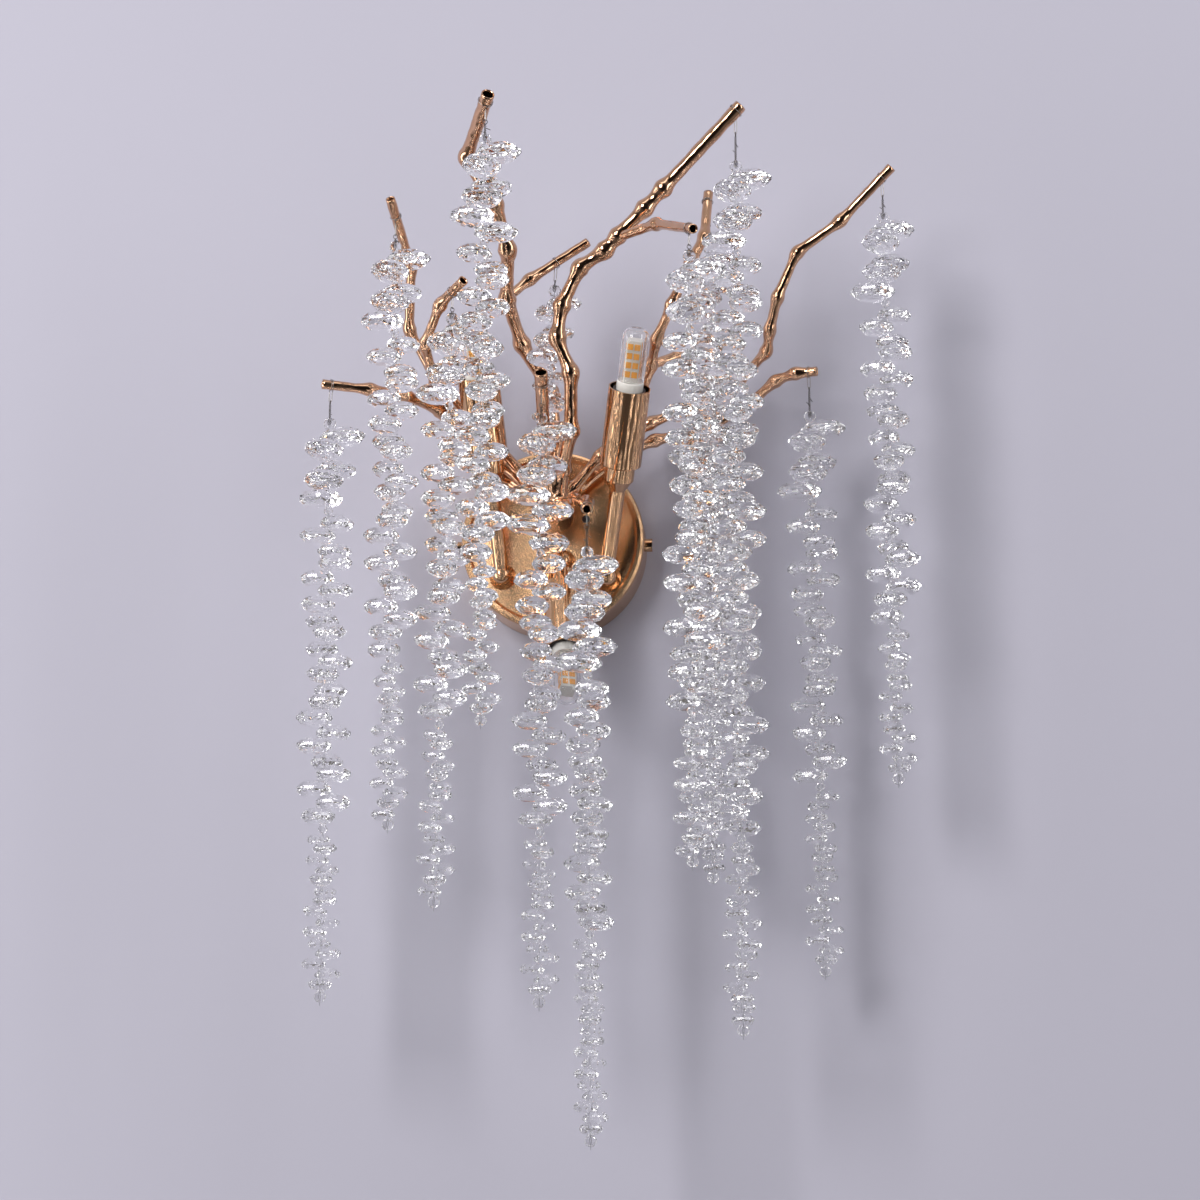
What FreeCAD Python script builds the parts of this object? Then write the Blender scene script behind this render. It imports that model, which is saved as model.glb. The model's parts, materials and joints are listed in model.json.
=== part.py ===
import FreeCAD, Part
import math
import os

import Sketcher
from FreeCAD import Placement, Rotation, Vector

# Crystal wall sconce: a round metal wall pan carries three plug-in lamps and a hub
# of bent tube branches, and a strand of drilled faceted crystals hangs from each branch.
# Frame: the wall is the plane Y = 0, the viewer stands at -Y, +X is the viewer's right,
# +Z is up and the origin is the centre of the wall bracket's back. Millimetres.

os.makedirs("parts", exist_ok=True)
doc = FreeCAD.newDocument("sconce")

# ---------------------------------------------------------------- driving sizes
SIZES = {
    # wall pan and what fixes it
    "pan_radius": 55.0,
    "pan_depth": 30.0,
    "pan_wall": 1.2,
    "rim_width": 4.0,
    "rim_round": 2.0,
    "dish_depth": 1.6,
    "vent_radius": 2.25,
    "vent_across": 20.0,
    "vent_up": 13.0,
    "notch_radius": 2.0,
    "bracket_width": 104.0,
    "bracket_height": 16.0,
    "bracket_sheet": 2.0,
    "lug_depth": 18.0,
    "slot_spacing": 70.0,
    "slot_length": 12.0,
    "slot_radius": 2.5,
    "side_screw_depth": 12.0,
    "side_screw_radius": 1.9,
    "side_head_radius": 4.0,
    "side_head_length": 4.0,
    "block_length": 26.0,
    "block_width": 12.0,
    "block_height": 9.0,
    "block_hole_radius": 1.5,
    # hub that the branches are brazed to
    "hub_radius": 11.0,
    "hub_length": 36.0,
    "hub_across": 2.0,
    "hub_up": 15.0,
    "nipple_radius": 4.5,
    "nipple_length": 9.0,
    "nut_thickness": 3.0,
    "nut_grip": 3.0,
    "fit_gap": 0.2,
    # branch tubes
    "tube_radius": 2.9,
    "trunk_radius": 3.9,
    "tube_wall": 0.6,
    "knuckle_share": 1.42,
    # lamps
    "boss_radius": 8.0,
    "boss_height": 4.0,
    "ball_radius": 6.0,
    "stem_radius": 4.5,
    "stem_bore": 3.0,
    "collar_radius": 9.0,
    "collar_taper": 7.0,
    "collar_length": 9.0,
    "cup_radius": 12.3,
    "cup_height": 48.0,
    "cup_wall": 0.8,
    "cup_hole": 3.6,
    "socket_radius": 9.6,
    "socket_foot_radius": 5.5,
    "socket_head_height": 18.0,
    "socket_below_rim": 1.0,
    "lamp_nipple_radius": 3.0,
    "bulb_radius": 8.0,
    "bulb_base_height": 10.0,
    "bulb_recess": 8.0,
    "bulb_fit": 0.35,
    "cover_height": 35.0,
    "cover_wall": 0.9,
    "cover_round": 6.5,
    "core_width": 9.0,
    "core_height": 30.0,
    "pin_radius": 0.9,
    "pin_length": 9.0,
    "pin_spacing": 9.0,
    "pin_hole_radius": 1.3,
    "chip_width": 2.6,
    "chip_height": 3.4,
    "chip_thickness": 0.5,
    "chip_pitch_across": 4.6,
    "chip_pitch_up": 6.2,
    # hanging wire
    "wire_radius": 0.35,
    "tie_wire_radius": 0.45,
    "eye_radius": 1.7,
    "eye_gap": 0.25,
    "tie_gap": 0.1,
    "tie_slack": 0.9,
    "twist_radius": 0.7,
    "crimp_radius": 1.2,
    "end_length": 3.5,
    # crystals
    "hole_radius": 0.55,
    "big_length": 27.0,
    "big_width": 19.0,
    "big_thick": 8.2,
    "middle_length": 21.0,
    "middle_width": 16.0,
    "middle_thick": 7.2,
    "small_length": 14.5,
    "small_width": 11.0,
    "small_thick": 4.9,
    "stack_gap": 1.05,
    "girdle": 0.9,
    "table_share": 0.5,
    "hole_offset_share": 0.18,
    "tilt_angle": 3.0,
    "turn_step": 217.0,
    "turn_sway": 38.0,
    "top_bead": 7.0,
    "middle_bead": 5.0,
    "end_bead": 6.5,
    "bead_gap": 0.4,
}

sheet = doc.addObject("Spreadsheet::Sheet", "sizes")
for row, (alias, number) in enumerate(SIZES.items(), start=1):
    sheet.set("A%d" % row, alias)
    sheet.set("B%d" % row, str(number))
    sheet.setAlias("B%d" % row, alias)
doc.recompute()


def size(alias):
    """A driving size, read back from the sheet."""
    return float(sheet.get(alias))


# ---------------------------------------------------------------- small helpers
FORWARD = Rotation(Vector(1, 0, 0), 90)  # turns a piece's own +Z to the viewer (-Y)
kept = []


def keep(piece, label, place=None):
    """Names a sub-part, puts it in place and lists it for writing out."""
    piece.Label = label
    if place is not None:
        piece.Placement = place
    kept.append(piece)
    return piece


def feature(label, shape, place=None):
    """A sub-part whose solid is made directly from sizes in the sheet."""
    piece = doc.addObject("Part::Feature", label)
    piece.Shape = shape
    return keep(piece, label, place or Placement())


def primitive(kind, name, place=None, **fields):
    """A primitive whose sizes are expressions on the sheet."""
    thing = doc.addObject("Part::" + kind, name)
    for field, expression in fields.items():
        thing.setExpression(field, expression)
    if place is not None:
        thing.Placement = place
    return thing


def plane_of(body, role):
    """One of a body's own origin planes."""
    return next(f for f in body.Origin.OriginFeatures if f.Role == role)


def pin_point(sketch, geometry, across, up):
    """Ties a sketch point to the sheet by its two distances from the origin."""
    for kind, expression in (("DistanceX", across), ("DistanceY", up)):
        number = sketch.addConstraint(Sketcher.Constraint(kind, -1, 1, geometry, 1, 1.0))
        sketch.setExpression("Constraints[%d]" % number, expression)


def outline_sketch(body, name, role, corners):
    """A closed outline of straight edges, its corners given as expressions."""
    sketch = body.newObject("Sketcher::SketchObject", name)
    sketch.AttachmentSupport = [(plane_of(body, role), "")]
    sketch.MapMode = "FlatFace"
    spots = [Vector(evaluate(across), evaluate(up), 0) for across, up in corners]
    count = len(spots)
    for k in range(count):
        sketch.addGeometry(Part.LineSegment(spots[k], spots[(k + 1) % count]), False)
    for k in range(count):
        sketch.addConstraint(Sketcher.Constraint("Coincident", k, 2, (k + 1) % count, 1))
    for k, (across, up) in enumerate(corners):
        pin_point(sketch, k, across, up)
    return sketch


def evaluate(expression):
    """The present value of an expression on the sheet."""
    return float(sheet.evalExpression(expression.replace("sizes.", "")))


def circle_sketch(body, name, role, circles):
    """Round holes: each is (across, up, radius), all expressions."""
    sketch = body.newObject("Sketcher::SketchObject", name)
    sketch.AttachmentSupport = [(plane_of(body, role), "")]
    sketch.MapMode = "FlatFace"
    for across, up, radius in circles:
        centre = Vector(evaluate(across), evaluate(up), 0)
        ring = sketch.addGeometry(Part.Circle(centre, Vector(0, 0, 1), evaluate(radius)), False)
        for kind, expression in (("DistanceX", across), ("DistanceY", up)):
            number = sketch.addConstraint(Sketcher.Constraint(kind, -1, 1, ring, 3, 1.0))
            sketch.setExpression("Constraints[%d]" % number, expression)
        number = sketch.addConstraint(Sketcher.Constraint("Radius", ring, evaluate(radius)))
        sketch.setExpression("Constraints[%d]" % number, radius)
    return sketch


def turned_body(name, corners):
    """A piece turned about its own Z axis from (radius, height) corners."""
    body = doc.addObject("PartDesign::Body", name)
    sketch = outline_sketch(body, name + "_profile", "XZ_Plane", corners)
    turning = body.newObject("PartDesign::Revolution", name + "_turning")
    turning.Profile = sketch
    turning.ReferenceAxis = (sketch, ["V_Axis"])
    turning.Angle = 360.0
    return body


def bored(body, name, role, circles, depth, reverse):
    """Cuts round holes of one depth into a body."""
    cut = body.newObject("PartDesign::Pocket", name)
    cut.Profile = circle_sketch(body, name + "_holes", role, circles)
    cut.setExpression("Length", depth)
    cut.Reversed = reverse
    return cut


def expression_of(number):
    """A place worked out in this file, as a sheet expression."""
    return "%.4f" % number


# ---------------------------------------------------------------- lamp places
# Each lamp: foot on the pan's face (across, up), the way its stem points, and the
# length of plain stem between the ball at the foot and the collar under the cup.
LAMPS = {
    "right": ((33.0, -24.0), (18.0, -65.0, 98.0), 55.0),
    "left": ((-30.0, -22.0), (-10.0, -45.0, 110.0), 55.0),
    "lower": ((6.0, -14.0), (5.0, -31.0, -62.0), 5.0),
}
face_depth = size("pan_depth") - size("dish_depth")

# ---------------------------------------------------------------- wall pan
pan = turned_body(
    "canopy",
    [
        ("sizes.pan_radius", "0"),
        ("sizes.pan_radius", "sizes.pan_depth - sizes.rim_round"),
        ("sizes.pan_radius - 0.3 * sizes.rim_round", "sizes.pan_depth - 0.3 * sizes.rim_round"),
        ("sizes.pan_radius - sizes.rim_round", "sizes.pan_depth"),
        ("sizes.pan_radius - sizes.rim_width", "sizes.pan_depth"),
        ("sizes.pan_radius - sizes.rim_width - sizes.dish_depth", "sizes.pan_depth - sizes.dish_depth"),
        ("0", "sizes.pan_depth - sizes.dish_depth"),
        ("0", "sizes.pan_depth - sizes.dish_depth - sizes.pan_wall"),
        ("sizes.pan_radius - sizes.rim_width - sizes.dish_depth",
         "sizes.pan_depth - sizes.dish_depth - sizes.pan_wall"),
        ("sizes.pan_radius - sizes.rim_width", "sizes.pan_depth - sizes.pan_wall"),
        ("sizes.pan_radius - sizes.rim_round", "sizes.pan_depth - sizes.pan_wall"),
        ("sizes.pan_radius - sizes.pan_wall", "sizes.pan_depth - sizes.rim_round"),
        ("sizes.pan_radius - sizes.pan_wall", "0"),
    ],
)
face_holes = [
    ("sizes.vent_across", "sizes.vent_up", "sizes.vent_radius"),
    ("sizes.hub_across", "sizes.hub_up", "sizes.nipple_radius + sizes.fit_gap"),
]
for foot, direction, stem_length in LAMPS.values():
    face_holes.append(
        (expression_of(foot[0]), expression_of(foot[1]), "sizes.lamp_nipple_radius + sizes.fit_gap")
    )
bored(pan, "canopy_face_holes", "XY_Plane", face_holes, "sizes.pan_depth + 1", True)
side_holes = [("0", "sizes.side_screw_depth", "sizes.side_screw_radius + sizes.fit_gap")]
side_cut = bored(pan, "canopy_side_holes", "YZ_Plane", side_holes, "2 * sizes.pan_radius + 2", False)
side_cut.Midplane = True
# a small round notch in the lower right of the side wall, where the back edge drains
notch = pan.newObject("PartDesign::Pocket", "canopy_notch")
notch.Profile = circle_sketch(
    pan, "canopy_notch_hole", "XZ_Plane", [("0.6 * sizes.pan_radius", "0", "sizes.notch_radius")]
)
notch.setExpression("Length", "sizes.pan_radius")
keep(pan, "canopy", Placement(Vector(0, 0, 0), FORWARD))

# ---------------------------------------------------------------- wall bracket
bracket = doc.addObject("PartDesign::Body", "wall_bracket")
half_width = "0.5 * sizes.bracket_width"
bracket_plan = outline_sketch(
    bracket, "bracket_plan", "XZ_Plane",
    [
        ("-" + half_width, "0"),
        (half_width, "0"),
        (half_width, "sizes.lug_depth"),
        (half_width + " - sizes.bracket_sheet", "sizes.lug_depth"),
        (half_width + " - sizes.bracket_sheet", "sizes.bracket_sheet"),
        ("-" + half_width + " + sizes.bracket_sheet", "sizes.bracket_sheet"),
        ("-" + half_width + " + sizes.bracket_sheet", "sizes.lug_depth"),
        ("-" + half_width, "sizes.lug_depth"),
    ],
)
strap = bracket.newObject("PartDesign::Pad", "bracket_strap")
strap.Profile = bracket_plan
strap.setExpression("Length", "sizes.bracket_height")
strap.Midplane = True
slots = bracket.newObject("PartDesign::Pocket", "bracket_slots")
slot_plan = bracket.newObject("Sketcher::SketchObject", "bracket_slot_plan")
slot_plan.AttachmentSupport = [(plane_of(bracket, "XY_Plane"), "")]
slot_plan.MapMode = "FlatFace"
for side in (-1, 1):
    middle = side * size("slot_spacing") / 2
    reach = size("slot_length") / 2 - size("slot_radius")
    round_end = size("slot_radius")
    left, right = Vector(middle - reach, 0, 0), Vector(middle + reach, 0, 0)
    up = Vector(0, round_end, 0)
    up_axis = Vector(0, 0, 1)
    first = slot_plan.GeometryCount
    slot_plan.addGeometry(Part.LineSegment(left - up, right - up), False)
    slot_plan.addGeometry(
        Part.ArcOfCircle(Part.Circle(right, up_axis, round_end), -math.pi / 2, math.pi / 2), False
    )
    slot_plan.addGeometry(Part.LineSegment(right + up, left + up), False)
    slot_plan.addGeometry(
        Part.ArcOfCircle(Part.Circle(left, up_axis, round_end), math.pi / 2, 1.5 * math.pi), False
    )
    for a, b in ((0, 1), (2, 3)):
        slot_plan.addConstraint(Sketcher.Constraint("Tangent", first + a, 2, first + b, 1))
    for a, b in ((1, 2), (3, 0)):
        slot_plan.addConstraint(Sketcher.Constraint("Tangent", first + a, 2, first + b, 1))
    for arc, sign in ((1, "+"), (3, "-")):
        number = slot_plan.addConstraint(
            Sketcher.Constraint("DistanceX", -1, 1, first + arc, 3, middle)
        )
        slot_plan.setExpression(
            "Constraints[%d]" % number,
            "%d * 0.5 * sizes.slot_spacing %s (0.5 * sizes.slot_length - sizes.slot_radius)"
            % (side, sign),
        )
    slot_plan.addConstraint(Sketcher.Constraint("PointOnObject", first + 1, 3, -1))
    number = slot_plan.addConstraint(Sketcher.Constraint("Radius", first + 1, round_end))
    slot_plan.setExpression("Constraints[%d]" % number, "sizes.slot_radius")
slots.Profile = slot_plan
slots.setExpression("Length", "sizes.bracket_sheet + 1")
slots.Reversed = True
lug_holes = bored(
    bracket, "bracket_lug_holes", "YZ_Plane",
    [("0", "sizes.side_screw_depth", "sizes.side_screw_radius + sizes.fit_gap")],
    "sizes.bracket_width + 2", False,
)
lug_holes.Midplane = True
keep(bracket, "wall_bracket", Placement(Vector(0, 0, 0), FORWARD))

# ---------------------------------------------------------------- terminal block
block = doc.addObject("PartDesign::Body", "terminal_block")
block_plan = outline_sketch(
    block, "block_plan", "XY_Plane",
    [
        ("-0.5 * sizes.block_length", "-0.5 * sizes.block_width"),
        ("0.5 * sizes.block_length", "-0.5 * sizes.block_width"),
        ("0.5 * sizes.block_length", "0.5 * sizes.block_width"),
        ("-0.5 * sizes.block_length", "0.5 * sizes.block_width"),
    ],
)
block_pad = block.newObject("PartDesign::Pad", "block_pad")
block_pad.Profile = block_plan
block_pad.setExpression("Length", "sizes.block_height")
bored(
    block, "block_wire_ways", "XZ_Plane",
    [("%g * sizes.block_length" % share, "0.5 * sizes.block_height", "sizes.block_hole_radius")
     for share in (-0.32, 0, 0.32)],
    "sizes.block_width + 2", False,
).Midplane = True
keep(block, "terminal_block", Placement(Vector(0, -size("bracket_sheet"), 0), FORWARD))

# ---------------------------------------------------------------- hub
hub = turned_body(
    "branch_hub",
    [
        ("0", "-sizes.nipple_length"),
        ("sizes.nipple_radius", "-sizes.nipple_length"),
        ("sizes.nipple_radius", "0"),
        ("sizes.hub_radius", "0"),
        ("sizes.hub_radius", "sizes.hub_length - 2 * sizes.rim_round"),
        ("sizes.hub_radius - sizes.rim_round", "sizes.hub_length"),
        ("0", "sizes.hub_length"),
    ],
)
hub_place = Vector(size("hub_across"), -face_depth, size("hub_up"))
keep(hub, "branch_hub", Placement(hub_place, FORWARD))

# ---------------------------------------------------------------- screws and nuts
fasteners = []


def hex_nut(name, spot, bore):
    """A six-sided nut behind the pan's face, its own Z towards the viewer."""
    start = Placement(spot, FORWARD)
    blank = primitive("Prism", name + "_blank", start, Circumradius=bore + " + sizes.nut_grip",
                      Height="sizes.nut_thickness")
    blank.Polygon = 6
    hole = primitive("Cylinder", name + "_hole", start, Radius=bore + " + 0.5 * sizes.fit_gap",
                     Height="sizes.nut_thickness")
    nut = doc.addObject("Part::Cut", name)
    nut.Base = blank
    nut.Tool = hole
    return nut


behind_face = face_depth - size("pan_wall") - size("nut_thickness")
fasteners.append(hex_nut("hub_nut", Vector(hub_place.x, -behind_face, hub_place.z), "sizes.nipple_radius"))
for lamp_name, (foot, direction, stem_length) in LAMPS.items():
    spot = Vector(foot[0], -behind_face, foot[1])
    fasteners.append(hex_nut(lamp_name + "_lamp_nut", spot, "sizes.lamp_nipple_radius"))
for side, side_name in ((-1, "left"), (1, "right")):
    outward = Rotation(Vector(0, 1, 0), 90 * side)
    seat = Vector(side * size("pan_radius"), -size("side_screw_depth"), 0)
    inward = Placement(seat, outward.multiply(Rotation(Vector(1, 0, 0), 180)))
    head = primitive("Cylinder", side_name + "_screw_head", Placement(seat, outward),
                     Radius="sizes.side_head_radius", Height="sizes.side_head_length")
    shank = primitive("Cylinder", side_name + "_screw_shank", inward,
                      Radius="sizes.side_screw_radius",
                      Height="sizes.pan_radius - 0.5 * sizes.bracket_width + 2 * sizes.bracket_sheet")
    screw = doc.addObject("Part::MultiFuse", side_name + "_side_screw")
    screw.Shapes = [head, shank]
    fasteners.append(screw)
set_of_fasteners = doc.addObject("Part::Compound", "screws_and_nuts")
set_of_fasteners.Links = fasteners
keep(set_of_fasteners, "screws_and_nuts")

# ---------------------------------------------------------------- lamps
cup_profile = [
    ("sizes.cup_hole", "0"),
    ("sizes.cup_radius - sizes.cup_wall", "0"),
    ("sizes.cup_radius", "sizes.cup_wall"),
    ("sizes.cup_radius", "sizes.cup_height"),
    ("sizes.cup_radius - sizes.cup_wall", "sizes.cup_height"),
    ("sizes.cup_radius - sizes.cup_wall", "sizes.cup_wall"),
    ("sizes.cup_hole", "sizes.cup_wall"),
]
socket_top = "sizes.cup_height - sizes.socket_below_rim"
socket_profile = [
    ("0", "sizes.cup_wall"),
    ("sizes.socket_foot_radius", "sizes.cup_wall"),
    ("sizes.socket_foot_radius", socket_top + " - sizes.socket_head_height"),
    ("sizes.socket_radius", socket_top + " - sizes.socket_head_height"),
    ("sizes.socket_radius", socket_top),
    ("sizes.bulb_radius + sizes.bulb_fit", socket_top),
    ("sizes.bulb_radius + sizes.bulb_fit", socket_top + " - sizes.bulb_recess"),
    ("0", socket_top + " - sizes.bulb_recess"),
]
cover_top = "sizes.bulb_base_height + sizes.cover_height"
cover_profile = [
    ("sizes.bulb_radius - sizes.cover_wall", "sizes.bulb_base_height"),
    ("sizes.bulb_radius", "sizes.bulb_base_height"),
    ("sizes.bulb_radius", cover_top + " - 0.75 * sizes.bulb_radius"),
    ("0.93 * sizes.bulb_radius", cover_top + " - 0.4 * sizes.bulb_radius"),
    ("0.7 * sizes.bulb_radius", cover_top + " - 0.13 * sizes.bulb_radius"),
    ("0.38 * sizes.bulb_radius", cover_top),
    ("0", cover_top),
    ("0", cover_top + " - sizes.cover_wall"),
    ("0.38 * sizes.bulb_radius - 0.3 * sizes.cover_wall", cover_top + " - sizes.cover_wall"),
    ("0.7 * sizes.bulb_radius - 0.6 * sizes.cover_wall",
     cover_top + " - 0.13 * sizes.bulb_radius - 0.8 * sizes.cover_wall"),
    ("0.93 * sizes.bulb_radius - 0.9 * sizes.cover_wall",
     cover_top + " - 0.4 * sizes.bulb_radius - 0.5 * sizes.cover_wall"),
    ("sizes.bulb_radius - sizes.cover_wall", cover_top + " - 0.75 * sizes.bulb_radius"),
]


def bulb_base_shape():
    """White foot with two pins below and the square lamp core with its chips above."""
    foot = Part.makeCylinder(size("bulb_radius"), size("bulb_base_height"))
    width, base_top = size("core_width"), size("bulb_base_height")
    extras = [Part.makeBox(width, width, size("core_height"), Vector(-width / 2, -width / 2, base_top))]
    for side in (-1, 1):
        spot = Vector(side * size("pin_spacing") / 2, 0, -size("pin_length"))
        extras.append(Part.makeCylinder(size("pin_radius"), size("pin_length"), spot))
    chip = Part.makeBox(size("chip_width"), 2 * size("chip_thickness"), size("chip_height"))
    for quarter in range(4):
        for column in (-0.5, 0.5):
            for row in range(4):
                one = chip.copy()
                one.translate(Vector(
                    column * size("chip_pitch_across") - size("chip_width") / 2,
                    -width / 2 - size("chip_thickness"),
                    base_top + 4.0 + row * size("chip_pitch_up"),
                ))
                one.rotate(Vector(0, 0, 0), Vector(0, 0, 1), 90 * quarter)
                extras.append(one)
    return foot.fuse(extras).removeSplitter()


bulb_shape = bulb_base_shape()
for lamp_name, (foot, direction, stem_length) in LAMPS.items():
    way = Vector(*direction).normalize()
    turn = Rotation(Vector(0, 0, 1), way)
    foot_spot = Vector(foot[0], -face_depth, foot[1])
    ball_spot = foot_spot + Vector(0, -size("boss_height") - 0.4 * size("ball_radius"), 0)
    own = "lamp_" + lamp_name + "_"
    # the ball joins the foot, which points out of the wall, to the stem
    at_foot = Placement(foot_spot, FORWARD)
    below = Placement(foot_spot, FORWARD.multiply(Rotation(Vector(1, 0, 0), 180)))
    along_stem = Placement(ball_spot, turn)
    neck = ball_spot + way * stem_length
    at_neck = Placement(neck, turn)
    collar_foot = neck + way * size("collar_taper")
    pieces = [
        primitive("Cone", own + "boss", at_foot, Radius1="sizes.boss_radius",
                  Radius2="0.75 * sizes.boss_radius", Height="sizes.boss_height"),
        primitive("Cylinder", own + "nipple", below, Radius="sizes.lamp_nipple_radius",
                  Height="sizes.nipple_length"),
        primitive("Sphere", own + "ball", Placement(ball_spot, Rotation()), Radius="sizes.ball_radius"),
        primitive("Cylinder", own + "tube", along_stem, Radius="sizes.stem_radius",
                  Height=expression_of(stem_length)),
        primitive("Cone", own + "taper", at_neck, Radius1="sizes.stem_radius",
                  Radius2="sizes.collar_radius", Height="sizes.collar_taper"),
        primitive("Cylinder", own + "collar", Placement(collar_foot, turn),
                  Radius="sizes.collar_radius", Height="sizes.collar_length"),
    ]
    stem_blank = doc.addObject("Part::MultiFuse", own + "blank")
    stem_blank.Shapes = pieces
    stem_bore = primitive(
        "Cylinder", own + "bore", along_stem, Radius="sizes.stem_bore",
        Height=expression_of(stem_length) + " + sizes.collar_taper + sizes.collar_length",
    )
    stem = doc.addObject("Part::Cut", own + "stem")
    stem.Base = stem_blank
    stem.Tool = stem_bore
    keep(stem, own + "stem")
    cup_seat = collar_foot + way * size("collar_length")
    at_cup = Placement(cup_seat, turn)
    keep(turned_body(own + "cup", cup_profile), own + "cup", at_cup)
    socket = turned_body(own + "socket", socket_profile)
    pin_ways = [("%g * sizes.pin_spacing" % side, "0", "sizes.pin_hole_radius") for side in (-0.5, 0.5)]
    bored(socket, own + "pin_ways", "XY_Plane", pin_ways,
          socket_top + " - 0.5 * sizes.bulb_recess", True)
    keep(socket, own + "socket", at_cup)
    bulb_seat = cup_seat + way * evaluate(socket_top + " - sizes.bulb_recess + sizes.fit_gap")
    at_bulb = Placement(bulb_seat, turn)
    feature("bulb_" + lamp_name + "_base", bulb_shape.copy(), at_bulb)
    keep(turned_body("bulb_" + lamp_name + "_cover", cover_profile), "bulb_" + lamp_name + "_cover", at_bulb)
    print("slide", lamp_name, "axis", [round(c, 4) for c in way], "rim",
          [round(c, 1) for c in cup_seat + way * size("cup_height")])
doc.recompute()

# ---------------------------------------------------------------- branches
# Each branch: its centre line from inside the hub or its parent branch to its open end,
# whether it is a thick trunk, the corners that carry a brazed knuckle, and its parent.
BRANCHES = {
    "branch_tall_right": ([(4, -57, 13), (9, -66, 34), (15, -80, 54), (16, -92, 86), (8, -96, 106),
                           (11, -99, 125), (22, -103, 147), (37, -106, 156), (45, -109, 164),
                           (61, -113, 179), (72, -116, 190), (118, -122, 238)], (3, 8, 10)),
    "branch_tall_right_fork": ([(45, -109, 163), (69, -132, 163), (92, -172, 146)], ()),
    "branch_inner_right": ([(4, -47, 15), (30, -50, 46), (52, -58, 72), (62, -70, 96), (66, -86, 107),
                            (76, -102, 123), (87, -102, 148), (95, -92, 168), (97, -80, 199)], (3,)),
    "branch_inner_right_fork": ([(62, -70, 96), (79, -58, 106), (96, -49, 117)], ()),
    "branch_far_right": ([(3, -40, 17), (35, -38, 52), (59, -32, 71), (89, -27, 83), (113, -30, 97),
                          (130, -46, 110), (132, -56, 120), (137, -64, 138), (149, -70, 164),
                          (175, -75, 181), (206, -81, 212)], (5, 8)),
    "branch_low_right": ([(3, -38, 18), (38, -38, 47), (62, -33, 60), (89, -28, 66), (116, -28, 80),
                          (135, -42, 93), (147, -50, 95), (160, -53, 95)], ()),
    "branch_low_left": ([(1, -40, 17), (-31, -36, 38), (-54, -41, 57), (-65, -62, 73), (-83, -82, 77),
                         (-102, -96, 77), (-129, -106, 78)], ()),
    "branch_inner_left": ([(1, -48, 15), (-30, -42, 45), (-52, -50, 64), (-66, -76, 84),
                           (-70, -98, 103), (-59, -116, 122), (-43, -136, 130)], (4,)),
    "branch_outer_left": ([(1, -42, 17), (-36, -44, 60), (-66, -56, 90), (-83, -70, 121),
                           (-80, -86, 155), (-88, -124, 185)], ()),
    "branch_tall_left": ([(2, -50, 16), (3, -46, 58), (0, -48, 87), (-16, -62, 113), (-23, -84, 134),
                          (-20, -108, 157), (-26, -124, 180), (-42, -136, 205), (-25, -178, 228)],
                         (4,)),
    "branch_tall_left_fork": ([(-23, -84, 135), (-10, -76, 149), (24, -68, 174)], ()),
    "branch_front": ([(3, -57, 14), (-1, -74, 44), (1, -122, 78)], ()),
    "branch_short": ([(5, -60, 12), (18, -80, 12), (27, -110, 3), (30, -152, -12)], ()),
}
TRUNKS = ("branch_tall_right", "branch_tall_left", "branch_front")
BEND_SHARE = 0.42  # part of the shorter run that a bend may use


def bend_spots(points):
    """Arc start, arc middle and arc end at each inner corner of a centre line."""
    spots = []
    for before, corner, after in zip(points, points[1:], points[2:]):
        back, ahead = before - corner, after - corner
        shorter = min(back.Length, ahead.Length)
        back.normalize()
        ahead.normalize()
        half_turn = (math.pi - back.getAngle(ahead)) / 2
        tangent = BEND_SHARE * shorter
        radius = tangent / math.tan(half_turn)
        towards = (back + ahead).normalize()
        middle = corner + towards * (radius / math.cos(half_turn) - radius)
        spots.append((corner + back * tangent, middle, corner + ahead * tangent))
    return spots


def centre_line(points, spots):
    """Straight runs joined by tangent arcs."""
    edges = []
    start = points[0]
    for arc_start, middle, arc_end in spots:
        edges.append(Part.LineSegment(start, arc_start).toShape())
        edges.append(Part.Arc(arc_start, middle, arc_end).toShape())
        start = arc_end
    edges.append(Part.LineSegment(start, points[-1]).toShape())
    return Part.Wire(edges)


def rod_along(line, start, way, radius):
    """A round bar along a centre line."""
    section = Part.Wire(Part.Circle(start, way, radius).toShape())
    return line.makePipeShell([section], True, False)


def largest(shape):
    """The main piece of a shape that a cut may have left in several."""
    return max(shape.Solids, key=lambda one: one.Volume)


hub_solid = hub.Shape.copy()
outer_solids = {}
for branch_name, (route, knuckles) in BRANCHES.items():
    points = [Vector(*point) for point in route]
    outer_radius = size("trunk_radius") if branch_name in TRUNKS else size("tube_radius")
    spots = bend_spots(points)
    line = centre_line(points, spots)
    way = points[1] - points[0]
    bar = rod_along(line, points[0], way, outer_radius)
    balls = []
    for corner in knuckles:
        arc_start, middle, arc_end = spots[corner - 1]
        balls.append(
            Part.makeSphere(size("knuckle_share") * outer_radius, middle, arc_end - arc_start)
        )
    outer = bar.fuse(balls) if balls else bar
    bore = rod_along(line, points[0], way, outer_radius - size("tube_wall"))
    tube = outer.cut(bore)
    for other in [hub_solid] + list(outer_solids.values()):
        if tube.BoundBox.intersect(other.BoundBox):
            tube = tube.cut(other)
    outer_solids[branch_name] = outer
    feature(branch_name, largest(tube))
print("branches made", len(outer_solids))

# ---------------------------------------------------------------- crystals
MARQUISE = [(0.5, 0.0), (0.34, 0.34), (0.12, 0.5), (-0.12, 0.5), (-0.34, 0.34)]
MARQUISE += [(-x, -y) for x, y in MARQUISE]
OCTAGON = [(math.cos(k * math.pi / 4) / 2, math.sin(k * math.pi / 4) / 2) for k in range(8)]


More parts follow.
